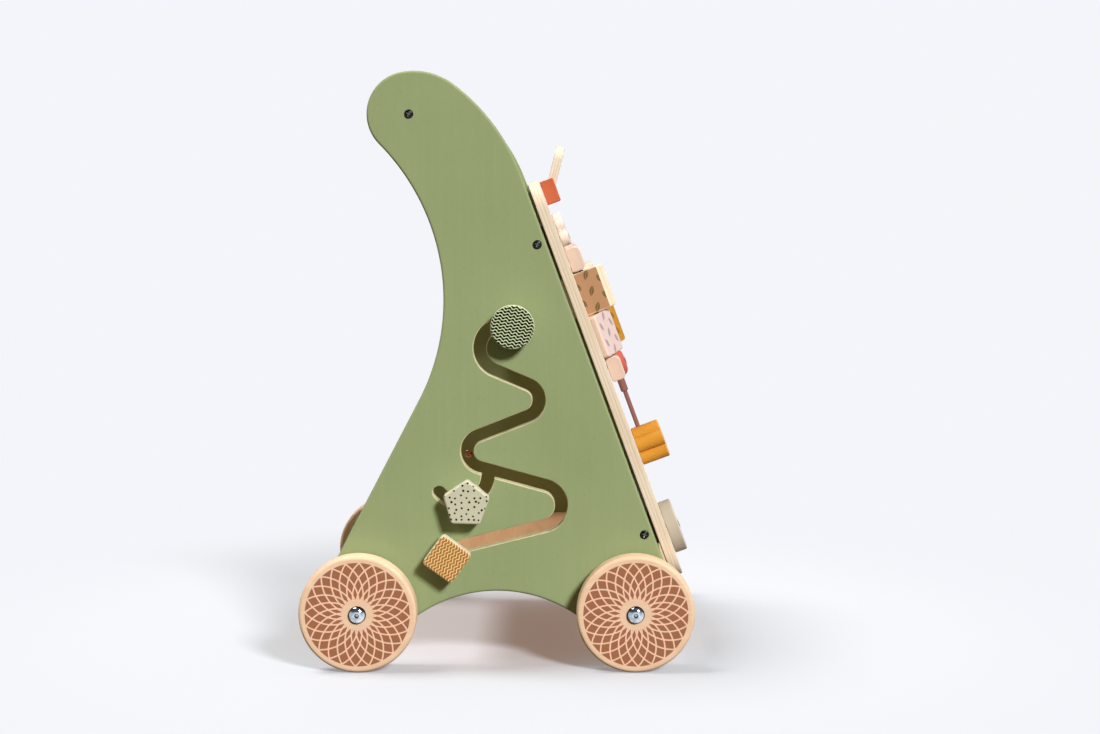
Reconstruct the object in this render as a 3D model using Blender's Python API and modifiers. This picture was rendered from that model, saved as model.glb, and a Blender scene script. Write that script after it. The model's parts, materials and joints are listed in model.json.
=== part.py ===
# Baby push walker: two shaped side panels, a sloping activity board and four wheels.
# Metres, +Z up. +X is the walking direction, and the origin is on the floor midway between the axles.
# Outlines in the panel plane are pairs (x, z). Pieces on the board are placed in the board's own frame:
# x runs down the slope, y across the walker, z out of the board's front face.
import math

import bmesh
import bpy
from mathutils import Matrix, Vector

# Fits
SEAT_GAP = 0.0003
RUN_GAP = 0.0004
FACET = 0.00022

# Wheels, their bolts and washers
WHEEL_RADIUS = 0.050
WHEEL_THICKNESS = 0.018
WHEEL_ROUND = 0.003
WHEELBASE = 0.235
BOLT_RADIUS = 0.004
BOLT_HEAD_RADIUS = 0.0071
BOLT_HEAD_HEIGHT = 0.0045
SOCKET_RADIUS = 0.0028
SOCKET_DEPTH = 0.0025
WASHER_RADIUS = 0.009
WASHER_THICKNESS = 0.003

# Side panels
INNER_WIDTH = 0.254
PANEL_THICKNESS = 0.012
PANEL_ROUND = 0.002
FOOT_RADIUS = 0.0376
ARCH_TOP = 0.0657
FRONT_LEAN = math.radians(20.3)
BACK_LEAN = math.radians(27.6)
BACK_STRAIGHT = 0.1835
HANDLE_REACH = 0.460
SWEEP_DROP = 0.080
HANDLE_SETBACK = 0.0704
HEAD_RADIUS = 0.0355
CROWN_RADIUS = 0.0553
CROWN_TURN = math.radians(102.4)

# Handle, rails and shelf
HANDLE_RADIUS = 0.013
RAIL_THICKNESS = 0.019
RAIL_HEIGHT = 0.028
RAIL_PROUD = 0.002
UPPER_RAIL_DOWN = 0.0508
LOWER_RAIL_DOWN = 0.3137
SHELF_TOP = 0.0895
SHELF_THICKNESS = 0.010
SHELF_REAR = -0.046
SHELF_FRONT = 0.092
NOTCH_LENGTH = 0.022
NOTCH_DEPTH = 0.009
SCREW_RADIUS = 0.002
SCREW_LENGTH = 0.030
SCREW_HEAD_RADIUS = 0.0038
SCREW_HEAD_HEIGHT = 0.0016
WOOD_ROUND = 0.0015

# Track in the right panel: bends of the main lane from the top end to the bottom end
TRACK_WIDTH = 0.011
TRACK_EASE = 0.0008
LOOP_X, LOOP_Z, LOOP_RADIUS = 0.0059, 0.2738, 0.0202
UPPER_BEND_X, UPPER_BEND_Z, UPPER_BEND_RADIUS = 0.0212, 0.2295, 0.0146
MIDDLE_BEND_X, MIDDLE_BEND_Z, MIDDLE_BEND_RADIUS = -0.0111, 0.1859, 0.0142
LOWER_BEND_X, LOWER_BEND_Z, LOWER_BEND_RADIUS = 0.0371, 0.1395, 0.0177
TAIL_X, TAIL_Z, TAIL_RADIUS = -0.0142, 0.0667, 0.0405
BRANCH_X, BRANCH_Z, BRANCH_RADIUS = -0.0311, 0.1658, 0.0234
LOOP_START = math.radians(67.7)
TAIL_END = math.radians(147.7)
BRANCH_START = math.radians(219.3)
BRANCH_END = math.radians(370.0)

# Knobs that slide in the track
PENTAGON_REST = math.radians(283.6)
SQUARE_REST = math.radians(133.3)
KNOB_THICKNESS = 0.012
KNOB_STANDOFF = 0.0045
KNOB_ROUND = 0.0015
ROUND_KNOB_RADIUS = 0.0185
PENTAGON_RADIUS = 0.0207
PENTAGON_CORNER = 0.003
PENTAGON_TURN = math.radians(16.0)
SQUARE_SIDE = 0.0305
SQUARE_CORNER = 0.0035
SQUARE_TURN = math.radians(-36.0)
COLLAR_RADIUS = 0.011
PENTAGON_COLLAR_RADIUS = 0.0165
DOWEL_SLACK = 0.0007
RETAINER_RADIUS = 0.0090
RETAINER_THICKNESS = 0.005

# Activity board
BOARD_LENGTH = 0.361
BOARD_START = 0.0105
BOARD_THICKNESS = 0.0095
BOARD_INSET = 0.001
BOARD_CORNER = 0.025
BOARD_ROUND = 0.0012

# Peekaboo flap at the top of the board
FLAP_LENGTH = 0.046
FLAP_THICKNESS = 0.008
FLAP_CORNER = 0.012
FLAP_TILT = math.radians(34.0)
FLAP_AXLE_DOWN = 0.0114
FLAP_AXLE_HEIGHT = 0.0065
FLAP_AXLE_RADIUS = 0.002
FLAP_BRACKET_LENGTH = 0.0218
FLAP_BRACKET_WIDTH = 0.012
FLAP_BRACKET_HEIGHT = 0.013
SIDE_GAP = 0.0006

# Lobed disc and bottom disc, each on a headed pin
PIN_RADIUS = 0.0025
PIN_HEAD_RADIUS = 0.005
PIN_HEAD_HEIGHT = 0.0022
PIN_BITE = 0.008
LOBED_DISC_DOWN = 0.0547
LOBED_DISC_LOBES = 8
LOBED_DISC_SPREAD = 0.0165
LOBED_DISC_LOBE = 0.0070
LOBED_DISC_THICKNESS = 0.0078
BOTTOM_DISC_DOWN = 0.3257
BOTTOM_DISC_INSET = 0.058
BOTTOM_DISC_RADIUS = 0.0235
BOTTOM_DISC_THICKNESS = 0.0108
DISC_LIFT = 0.0006

# Flip tiles in three columns
COLUMN_INSET = 0.039
COLUMN_DOWN = 0.0637
TILE_SIZE = 0.038
TILE_WIDTH = 0.041
TILE_THICKNESS = 0.010
TILE_CORNER = 0.003
TILE_GAP = 0.0012
TILE_AXLE_RADIUS = 0.002
TILE_AXLE_HEIGHT = 0.0076
TILE_BRACKET_LENGTH = 0.0215
TILE_BRACKET_WIDTH = 0.022
TILE_BRACKET_HEIGHT = 0.0128
TILE_BRACKET_CORNER = 0.005
WINDOW_MARGIN = 0.0025
WINDOW_CORNER = 0.003
TILE_TILTS = ((56.0, 21.0), (-12.0, 46.0), (-28.0, 12.0))

# Pendulum
PENDULUM_DOWN = 0.1767
PENDULUM_REACH = 0.0779
HUB_RADIUS = 0.0125
HUB_HEIGHT = 0.017
ROD_RADIUS = 0.002
ROD_COLLAR_RADIUS = 0.0034
ROD_COLLAR_LENGTH = 0.013
ROD_HEIGHT = 0.0077
ROD_BITE = 0.005
BOB_LOBES = 5
BOB_SPREAD = 0.0108
BOB_LOBE = 0.0072
BOB_THICKNESS = 0.0257

# Sizes that follow from the ones above
PANEL_INNER = INNER_WIDTH / 2
PANEL_OUTER = PANEL_INNER + PANEL_THICKNESS
WHEEL_INNER = PANEL_OUTER + SEAT_GAP + WASHER_THICKNESS + SEAT_GAP
WHEEL_OUTER = WHEEL_INNER + WHEEL_THICKNESS
REAR_AXLE = Vector((-WHEELBASE / 2, WHEEL_RADIUS))
FRONT_AXLE = Vector((WHEELBASE / 2, WHEEL_RADIUS))
FRONT_NORMAL = Vector((math.cos(FRONT_LEAN), math.sin(FRONT_LEAN)))
UP_SLOPE = Vector((-math.sin(FRONT_LEAN), math.cos(FRONT_LEAN)))
BACK_NORMAL = Vector((-math.cos(BACK_LEAN), math.sin(BACK_LEAN)))
UP_BACK = Vector((math.sin(BACK_LEAN), math.cos(BACK_LEAN)))
FRONT_FOOT = FRONT_AXLE + FOOT_RADIUS * FRONT_NORMAL
REAR_FOOT = REAR_AXLE + FOOT_RADIUS * BACK_NORMAL
HANDLE = FRONT_FOOT + HANDLE_REACH * UP_SLOPE - HANDLE_SETBACK * FRONT_NORMAL
FRONT_STRAIGHT = HANDLE_REACH - SWEEP_DROP
BOARD_FACE = RAIL_PROUD + SEAT_GAP + BOARD_THICKNESS
BOARD_TOP = FRONT_FOOT + (BOARD_START + BOARD_LENGTH) * UP_SLOPE + BOARD_FACE * FRONT_NORMAL
BOARD_WIDTH = INNER_WIDTH + 2 * PANEL_THICKNESS - 2 * BOARD_INSET
RAIL_DEPTH = BOARD_THICKNESS + SEAT_GAP + RAIL_THICKNESS / 2
DOWEL_RADIUS = TRACK_WIDTH / 2 - DOWEL_SLACK
COLUMN_PITCH = PANEL_INNER - COLUMN_INSET
PENDULUM_Y = -COLUMN_PITCH / 2
LOBED_DISC_Y = -COLUMN_PITCH / 2
BOTTOM_DISC_Y = -BOARD_WIDTH / 2 + BOTTOM_DISC_INSET
FLAP_Y = COLUMN_PITCH / 2
FLAP_WIDTH = COLUMN_PITCH
TILE_STEP = TILE_SIZE + TILE_GAP
FIRST_TILE_DOWN = COLUMN_DOWN + TILE_BRACKET_LENGTH + TILE_GAP + TILE_SIZE / 2
TILE_RUN_END = FIRST_TILE_DOWN + TILE_STEP + TILE_SIZE / 2 + TILE_GAP

for stray in list(bpy.data.objects):
    bpy.data.objects.remove(stray, do_unlink=True)

parts = bpy.data.collections.new("baby_push_walker")
cutters = bpy.data.collections.new("cutters")
for group in (parts, cutters):
    bpy.context.scene.collection.children.link(group)


# Finishes

def finish(name, red, green, blue, roughness, metallic=0.0):
    material = bpy.data.materials.new(name)
    material.use_nodes = True
    shader = material.node_tree.nodes["Principled BSDF"]
    shader.inputs["Base Color"].default_value = (red, green, blue, 1.0)
    shader.inputs["Roughness"].default_value = roughness
    shader.inputs["Metallic"].default_value = metallic
    material.diffuse_color = (red, green, blue, 1.0)
    return material


SAGE = finish("sage_paint", 0.30, 0.36, 0.18, 0.45)
WOOD = finish("pale_wood", 0.88, 0.60, 0.36, 0.55)
BARE_WOOD = finish("bare_wood", 0.80, 0.58, 0.38, 0.60)
PLY = finish("birch_plywood", 0.83, 0.68, 0.50, 0.55)
RED = finish("red_paint", 0.75, 0.10, 0.03, 0.40)
PINK = finish("pink_paint", 0.87, 0.61, 0.46, 0.45)
OCHRE = finish("ochre_paint", 0.64, 0.32, 0.05, 0.45)
BROWN = finish("brown_paint", 0.58, 0.30, 0.15, 0.45)
MAUVE = finish("mauve_paint", 0.35, 0.16, 0.14, 0.45)
BEIGE = finish("beige_paint", 0.61, 0.55, 0.40, 0.45)
CREAM = finish("cream_paint", 0.80, 0.72, 0.58, 0.45)
MINT = finish("pale_green_paint", 0.55, 0.62, 0.38, 0.45)
CHROME = finish("chrome", 0.80, 0.80, 0.82, 0.15, 1.0)
BLACK_STEEL = finish("black_steel", 0.02, 0.02, 0.02, 0.35, 1.0)
LAVENDER = finish("lavender_paint", 0.72, 0.66, 0.72, 0.45)
NYLON = finish("nylon", 0.75, 0.74, 0.70, 0.50)
TILE_PAINTS = ((BROWN, LAVENDER), (MINT, OCHRE), (LAVENDER, BROWN))


# Placing

def place(x, y, z):
    return Matrix.Translation((x, y, z))


def facing_out(side, x, z, y):
    # Local z points out of the side panel: side is -1 on the right and +1 on the left.
    return place(x, side * y, z) @ Matrix.Rotation(-side * math.pi / 2, 4, "X")


BOARD_FRAME = place(BOARD_TOP.x, 0, BOARD_TOP.y) @ Matrix.Rotation(math.pi / 2 - FRONT_LEAN, 4, "Y")


def on_board(down, across, height):
    return BOARD_FRAME @ place(down, across, height)


def pivot(name, matrix):
    empty = bpy.data.objects.new(name, None)
    empty.empty_display_size = 0.02
    empty.matrix_world = matrix
    parts.objects.link(empty)
    return empty


def keep(name, mesh, matrix, material=None, parent=None):
    made = bpy.data.objects.new(name, mesh)
    if material:
        made.data.materials.append(material)
        parts.objects.link(made)
    else:
        made.hide_render = True
        made.display_type = "WIRE"
        cutters.objects.link(made)
    if parent:
        made.parent = parent
        made.matrix_parent_inverse = parent.matrix_world.inverted()
    made.matrix_world = matrix
    return made


def shade(mesh):
    mesh.shade_smooth()
    mesh.set_sharp_from_angle(angle=math.radians(32))


# Points along arcs

def polar(angle, length=1.0):
    return Vector((math.cos(angle), math.sin(angle))) * length


def heading(vector):
    return math.atan2(vector.y, vector.x)


def arc(centre, radius, start, end):
    turn = 2 * math.acos(1 - min(FACET / radius, 0.5))
    steps = max(2, math.ceil(abs(end - start) / turn))
    angles = [start + (end - start) * i / steps for i in range(steps + 1)]
    return [centre + polar(angle, radius) for angle in angles]


def joined(*runs):
    points = []
    for run in runs:
        points += [point for point in run if not points or (point - points[-1]).length > 1e-6]
    while (points[0] - points[-1]).length < 1e-6:
        points.pop()
    return points


def rounded_polygon(corners, radius):
    # Each corner of a counter-clockwise polygon becomes an arc that is tangent to both of its sides.
    runs = []
    for i, corner in enumerate(corners):
        before = (corners[i - 1] - corner).normalized()
        after = (corners[(i + 1) % len(corners)] - corner).normalized()
        half = math.acos(before.dot(after)) / 2
        centre = corner + (before + after).normalized() * (radius / math.sin(half))
        start = heading(Vector((-before.y, before.x)))
        runs.append(arc(centre, radius, start, start + math.pi - 2 * half))
    return joined(*runs)


def rounded_rectangle(low_x, low_y, high_x, high_y, radius):
    corners = ((high_x, high_y), (low_x, high_y), (low_x, low_y), (high_x, low_y))
    return rounded_polygon([Vector(corner) for corner in corners], radius)


def regular_polygon(sides, radius, turn, corner):
    return rounded_polygon([polar(turn + 2 * math.pi * i / sides, radius) for i in range(sides)], corner)


def petals(count, spread, lobe):
    # A ring of equal round lobes, each an arc between the creases where it meets its neighbours.
    half = math.pi / count
    crease = spread * math.cos(half) + math.sqrt(lobe**2 - (spread * math.sin(half))**2)
    reach = heading(polar(half, crease) - Vector((spread, 0)))
    runs = []
    for i in range(count):
        turn = math.pi + 2 * half * i
        runs.append(arc(polar(turn, spread), lobe, turn - reach, turn + reach))
    return joined(*runs)


# Solids

def clean_mesh(name, source):
    # The evaluated shape as one welded mesh with its faces pointing out.
    depsgraph = bpy.context.evaluated_depsgraph_get()
    mesh = bpy.data.meshes.new_from_object(source.evaluated_get(depsgraph))
    work = bmesh.new()
    work.from_mesh(mesh)
    bmesh.ops.remove_doubles(work, verts=work.verts, dist=1e-6)
    bmesh.ops.recalc_face_normals(work, faces=work.faces)
    work.to_mesh(mesh)
    work.free()
    mesh.name = name
    return mesh


def plate(name, outlines, thickness, edge, edge_steps=0):
    # A flat outline with its holes, as thick as stated about z = 0, its edges eased by edge.
    curve = bpy.data.curves.new(name, "CURVE")
    curve.dimensions = "2D"
    curve.fill_mode = "BOTH"
    curve.extrude = thickness / 2 - edge
    curve.bevel_depth = edge
    curve.bevel_resolution = edge_steps
    curve.offset = -edge
    for points in outlines:
        spline = curve.splines.new("POLY")
        spline.points.add(len(points) - 1)
        for target, point in zip(spline.points, points):
            target.co = (point.x, point.y, 0.0, 1.0)
        spline.use_cyclic_u = True
    shape = bpy.data.objects.new(name, curve)
    bpy.context.scene.collection.objects.link(shape)
    mesh = clean_mesh(name, shape)
    bpy.data.objects.remove(shape)
    bpy.data.curves.remove(curve)
    shade(mesh)
    return mesh


def turned(name, profile, steps, closed=False):
    # A profile of (radius, height) pairs, run from top to bottom down its outer side, turned about z.
    mesh = bpy.data.meshes.new(name)
    count = len(profile)
    edges = [(i, (i + 1) % count) for i in range(count if closed else count - 1)]
    mesh.from_pydata([(radius, 0, height) for radius, height in profile], edges, [])
    shape = bpy.data.objects.new(name, mesh)
    bpy.context.scene.collection.objects.link(shape)
    screw = shape.modifiers.new("turn", "SCREW")
    screw.steps = steps
    screw.render_steps = steps
    screw.use_merge_vertices = True
    screw.merge_threshold = 1e-6
    solid = clean_mesh(name, shape)
    bpy.data.objects.remove(shape)
    shade(solid)
    return solid


def rounded(radius, height, edge, turns=2):
    # The outer corner of a turned profile at (radius, height), as a quarter round from top to side.
    angles = [math.pi / 2 * (1 - i / turns) for i in range(turns + 1)]
    return [(radius - edge + edge * math.cos(a), height - edge + edge * math.sin(a)) for a in angles]


def rounded_under(radius, height, edge, turns=2):
    # The same corner at the bottom of a profile, from side to underside.
    return [(r, 2 * height - z) for r, z in reversed(rounded(radius, height, edge, turns))]


def rod(name, radius, length, steps=16):
    return turned(name, [(0, length / 2), (radius, length / 2), (radius, -length / 2), (0, -length / 2)], steps)


def disc_with_bore(name, radius, thickness, edge, bore_radius, steps, edge_steps=1):
    # From z = 0 up to the thickness, with a bore through it.
    upper = rounded(radius, thickness, edge, edge_steps)
    lower = rounded_under(radius, 0, edge, edge_steps)
    return turned(name, [(bore_radius, thickness), *upper, *lower, (bore_radius, 0)], steps, closed=True)


def headed_pin(name, radius, length, head_radius, head_height, steps=12):
    # A pin below z = 0 with a domed head above it.
    dome = [(head_radius * math.sin(math.pi / 2 * i / 3), head_height * math.cos(math.pi / 2 * i / 3))
            for i in range(4)]
    return turned(name, [*dome, (radius, 0), (radius, -length), (0, -length)], steps)


def block(name, size, edge):
    mesh = bpy.data.meshes.new(name)
    work = bmesh.new()
    bmesh.ops.create_cube(work, size=1.0, matrix=Matrix.Diagonal((*size, 1)))
    bmesh.ops.bevel(work, geom=work.edges, offset=edge, segments=1, profile=0.5, affect="EDGES")
    work.to_mesh(mesh)
    work.free()
    shade(mesh)
    return mesh


def cut(target, cutter):
    drill = target.modifiers.new(cutter.name, "BOOLEAN")
    drill.operation = "DIFFERENCE"
    drill.solver = "EXACT"
    drill.object = cutter


def join(target, *others):
    for other in others:
        weld = target.modifiers.new(other.name, "BOOLEAN")
        weld.operation = "UNION"
        weld.solver = "EXACT"
        weld.object = other


def bore(target, radius, length, matrix, steps=16):
    # A round hole along the matrix's z, centred on its origin.
    name = f"{target.name}_bore_{len(target.modifiers)}"
    cut(target, keep(name, rod(name, radius, length, steps), matrix))


# Side panels

def panel_outline():
    crown = HANDLE - (CROWN_RADIUS - HEAD_RADIUS) * polar(CROWN_TURN)
    front_end = FRONT_FOOT + FRONT_STRAIGHT * UP_SLOPE
    to_end = front_end - crown
    sweep = (to_end.length_squared - CROWN_RADIUS**2) / (2 * (to_end.dot(FRONT_NORMAL) - CROWN_RADIUS))
    sweep_centre = front_end - sweep * FRONT_NORMAL
    back_end = REAR_FOOT + BACK_STRAIGHT * UP_BACK
    from_head = back_end - HANDLE
    hollow = (from_head.length_squared - HEAD_RADIUS**2) / (2 * (HEAD_RADIUS - from_head.dot(BACK_NORMAL)))
    hollow_centre = back_end + hollow * BACK_NORMAL
    drop = WHEEL_RADIUS - ARCH_TOP
    arch = (drop**2 + (WHEELBASE / 2)**2 - FOOT_RADIUS**2) / (2 * (FOOT_RADIUS - drop))
    arch_centre = Vector((0, ARCH_TOP - arch))
    crown_meet = heading(crown - sweep_centre)
    hollow_meet = heading(HANDLE - hollow_centre)
    rear_meet = heading(REAR_AXLE - arch_centre)
    front_meet = heading(FRONT_AXLE - arch_centre)
    return joined(
        arc(sweep_centre, sweep, FRONT_LEAN, crown_meet),
        arc(crown, CROWN_RADIUS, crown_meet, CROWN_TURN),
        arc(HANDLE, HEAD_RADIUS, CROWN_TURN, hollow_meet + math.pi),
        arc(hollow_centre, hollow, hollow_meet, -BACK_LEAN),
        arc(REAR_AXLE, FOOT_RADIUS, math.pi - BACK_LEAN, rear_meet + math.pi),
        arc(arch_centre, arch, rear_meet, front_meet),
        arc(FRONT_AXLE, FOOT_RADIUS, front_meet - math.pi, FRONT_LEAN),
    )


def track_lane():
    # The main lane runs round one bend after another, counter-clockwise and clockwise in turn,
    # along the straight lines that cross from each bend to the next.
    bends = (
        (Vector((LOOP_X, LOOP_Z)), LOOP_RADIUS),
        (Vector((UPPER_BEND_X, UPPER_BEND_Z)), UPPER_BEND_RADIUS),
        (Vector((MIDDLE_BEND_X, MIDDLE_BEND_Z)), MIDDLE_BEND_RADIUS),
        (Vector((LOWER_BEND_X, LOWER_BEND_Z)), LOWER_BEND_RADIUS),
        (Vector((TAIL_X, TAIL_Z)), TAIL_RADIUS),
    )
    runs = []
    arrive = LOOP_START
    way = 1
    for (centre, radius), following in zip(bends, (*bends[1:], None)):
        if following:
            step = following[0] - centre
            leave = heading(step) - way * math.acos((radius + following[1]) / step.length)
        else:
            leave = TAIL_END
        leave = arrive + way * ((way * (leave - arrive)) % (2 * math.pi))
        runs.append(arc(centre, radius, arrive, leave))
        arrive = leave + math.pi
        way = -way
    return joined(*runs)


def band(path, half_width):
    # The outline of a lane of even width with round ends.
    count = len(path)
    along = [(path[min(i + 1, count - 1)] - path[max(i - 1, 0)]).normalized() for i in range(count)]
    left = [Vector((-step.y, step.x)) for step in along]
    out_side = [point - half_width * side for point, side in zip(path, left)]
    back_side = [point + half_width * side for point, side in zip(path, left)]
    end_turn = heading(-left[-1])
    start_turn = heading(left[0])
    end_cap = arc(path[-1], half_width, end_turn, end_turn + math.pi)
    start_cap = arc(path[0], half_width, start_turn, start_turn + math.pi)
    return out_side[:-1] + end_cap[:-1] + back_side[:0:-1] + start_cap[:-1]


def lane_cutter(name, path):
    # The lane through the panel, flared at both faces to ease the slot's edges.
    # The rings have equal counts, because the round ends keep one number of steps.
    beyond = 0.0005
    half = PANEL_THICKNESS / 2
    flare = TRACK_EASE + beyond
    levels = ((-half - beyond, flare), (-half + TRACK_EASE, 0), (half - TRACK_EASE, 0), (half + beyond, flare))
    base = band(path, TRACK_WIDTH / 2)
    count = len(base)
    vertices = []
    for height, grow in levels:
        for i, point in enumerate(base):
            step = (base[(i + 1) % count] - base[i - 1]).normalized()
            moved = point + grow * Vector((step.y, -step.x))
            vertices.append((moved.x, moved.y, height))
    faces = [tuple(range(count - 1, -1, -1)), tuple(range(3 * count, 4 * count))]
    for level in range(3):
        for i in range(count):
            low = level * count + i
            low_next = level * count + (i + 1) % count
            faces.append((low, low_next, low_next + count, low + count))
    mesh = bpy.data.meshes.new(name)
    mesh.from_pydata(vertices, [], faces)
    return keep(name, mesh, facing_out(-1, 0, 0, PANEL_OUTER - PANEL_THICKNESS / 2))


def rail_centre(down):
    centre = on_board(down, 0, -RAIL_DEPTH).translation
    return Vector((centre.x, centre.z))


SCREW_PLACES = (
    ("handle", HANDLE),
    ("upper_batten", rail_centre(UPPER_RAIL_DOWN)),
    ("lower_batten", rail_centre(LOWER_RAIL_DOWN)),
)


def side_panel(name, side):
    # The outline is drawn as seen from the right, so the left panel's is mirrored back.
    outline = panel_outline()
    if side > 0:
        outline = [Vector((point.x, -point.y)) for point in reversed(outline)]
    middle = facing_out(side, 0, 0, PANEL_OUTER - PANEL_THICKNESS / 2)
    panel = keep(name, plate(name, [outline], PANEL_THICKNESS, PANEL_ROUND, 1), middle, SAGE)
    through = 2 * PANEL_THICKNESS
    for axle in (REAR_AXLE, FRONT_AXLE):
        bore(panel, BOLT_RADIUS + SEAT_GAP, through, place(axle.x, 0, axle.y) @ middle)
    for _, spot in SCREW_PLACES:
        bore(panel, SCREW_RADIUS + SEAT_GAP, through, place(spot.x, 0, spot.y) @ middle, 12)
    return panel


right_panel = side_panel("right_side_panel", -1)
side_panel("left_side_panel", 1)
branch_path = arc(Vector((BRANCH_X, BRANCH_Z)), BRANCH_RADIUS, BRANCH_START, BRANCH_END)
cut(right_panel, lane_cutter("track_lane", track_lane()))
cut(right_panel, lane_cutter("track_branch", branch_path))


# Handle, rails, shelf and the screws through the panels

SCREW_SEAT = PANEL_OUTER + SEAT_GAP
SCREW_TIP = SCREW_SEAT - SCREW_LENGTH
PILOT_DEPTH = PANEL_INNER - SEAT_GAP - SCREW_TIP + SEAT_GAP
SPAN = INNER_WIDTH - 2 * SEAT_GAP


def handle_bar():
    half = SPAN / 2
    pilot = SCREW_RADIUS + SEAT_GAP
    upper = [(0, half - PILOT_DEPTH), (pilot, half - PILOT_DEPTH), (pilot, half)]
    lower = [(radius, -height) for radius, height in reversed(upper)]
    side = [*rounded(HANDLE_RADIUS, half, WOOD_ROUND, 1), *rounded_under(HANDLE_RADIUS, -half, WOOD_ROUND, 1)]
    mesh = turned("handle_bar", upper + side + lower, 24)
    keep("handle_bar", mesh, facing_out(-1, HANDLE.x, HANDLE.y, 0), WOOD)


def rail(name, down):
    centre = on_board(down, 0, -RAIL_DEPTH)
    made = keep(name, block(name, (RAIL_HEIGHT, SPAN, RAIL_THICKNESS), WOOD_ROUND), centre, BARE_WOOD)
    spot = rail_centre(down)
    for side in (-1, 1):
        seat = facing_out(side, spot.x, spot.y, PANEL_INNER)
        bore(made, SCREW_RADIUS + SEAT_GAP, 2 * PILOT_DEPTH, seat, 12)


def bottom_shelf():
    size = (SHELF_FRONT - SHELF_REAR, SPAN, SHELF_THICKNESS)
    centre = place((SHELF_REAR + SHELF_FRONT) / 2, 0, SHELF_TOP - SHELF_THICKNESS / 2)
    shelf = keep("bottom_shelf", block("bottom_shelf", size, WOOD_ROUND), centre, BARE_WOOD)
    # The corner beside the track is left open for the square knob's retainer.
    gap = (2 * NOTCH_LENGTH, 2 * NOTCH_DEPTH, 2 * SHELF_THICKNESS)
    corner = place(SHELF_REAR, -SPAN / 2, SHELF_TOP - SHELF_THICKNESS / 2)
    cut(shelf, keep("shelf_notch", block("shelf_notch", gap, WOOD_ROUND), corner))


handle_bar()
rail("upper_batten", UPPER_RAIL_DOWN)
rail("lower_batten", LOWER_RAIL_DOWN)
bottom_shelf()
for side, hand in ((-1, "right"), (1, "left")):
    for use, spot in SCREW_PLACES:
        name = f"{hand}_{use}_screw"
        screw_mesh = headed_pin(name, SCREW_RADIUS, SCREW_LENGTH, SCREW_HEAD_RADIUS, SCREW_HEAD_HEIGHT, 12)
        keep(name, screw_mesh, facing_out(side, spot.x, spot.y, SCREW_SEAT), BLACK_STEEL)


# Wheels, washers and bolts

def axle_bolt(name, side, axle):
    length = WHEEL_OUTER + SEAT_GAP - PANEL_INNER
    head = [(0, BOLT_HEAD_HEIGHT), *rounded(BOLT_HEAD_RADIUS, BOLT_HEAD_HEIGHT, BOLT_HEAD_HEIGHT * 0.6, 2)]
    shank = [(BOLT_HEAD_RADIUS, 0), (BOLT_RADIUS, 0), (BOLT_RADIUS, -length), (0, -length)]
    matrix = facing_out(side, axle.x, axle.y, WHEEL_OUTER + SEAT_GAP)
    made = keep(name, turned(name, head + shank, 16), matrix, CHROME)
    bore(made, SOCKET_RADIUS, 2 * SOCKET_DEPTH, matrix @ place(0, 0, BOLT_HEAD_HEIGHT), 6)


for side, hand in ((-1, "right"), (1, "left")):
    for end, axle in (("rear", REAR_AXLE), ("front", FRONT_AXLE)):
        wheel_name = f"{hand}_{end}_wheel"
        washer_name = f"{hand}_{end}_washer"
        wheel_mesh = disc_with_bore(
            wheel_name, WHEEL_RADIUS, WHEEL_THICKNESS, WHEEL_ROUND, BOLT_RADIUS + RUN_GAP, 32, 2)
        washer_mesh = disc_with_bore(
            washer_name, WASHER_RADIUS, WASHER_THICKNESS, SEAT_GAP, BOLT_RADIUS + SEAT_GAP, 12)
        keep(wheel_name, wheel_mesh, facing_out(side, axle.x, axle.y, WHEEL_INNER), WOOD)
        keep(washer_name, washer_mesh, facing_out(side, axle.x, axle.y, PANEL_OUTER + SEAT_GAP), NYLON)
        axle_bolt(f"{hand}_{end}_axle_bolt", side, axle)


# Knobs in the track

def sliding_knob(name, centre, radius, rest, outline, collar_radius, material):
    # A shaped plate on a collar and a dowel: the collar runs on the panel, the dowel in the lane.
    spot = centre + polar(rest, radius)
    hinge = pivot(f"{name}_pivot", facing_out(-1, centre.x, centre.y, PANEL_OUTER))
    matrix = facing_out(-1, spot.x, spot.y, PANEL_OUTER)
    sink = KNOB_ROUND
    dowel_end = -(PANEL_THICKNESS + SEAT_GAP + RETAINER_THICKNESS)
    seat = SEAT_GAP
    top = KNOB_STANDOFF + sink
    profile = [(0, top), (collar_radius, top), (collar_radius, seat), (DOWEL_RADIUS, seat),
               (DOWEL_RADIUS, dowel_end), (0, dowel_end)]
    face = plate(name, [outline], KNOB_THICKNESS, KNOB_ROUND)
    knob = keep(name, face, matrix @ place(0, 0, KNOB_STANDOFF + KNOB_THICKNESS / 2), material, hinge)
    join(knob, keep(f"{name}_stem", turned(f"{name}_stem", profile, 20), matrix))
    retainer = disc_with_bore(f"{name}_retainer", RETAINER_RADIUS, RETAINER_THICKNESS, KNOB_ROUND,
                              DOWEL_RADIUS + SEAT_GAP, 14)
    behind = facing_out(-1, spot.x, spot.y, PANEL_INNER - SEAT_GAP - RETAINER_THICKNESS)
    keep(f"{name}_retainer", retainer, behind, BARE_WOOD, hinge)


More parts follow.
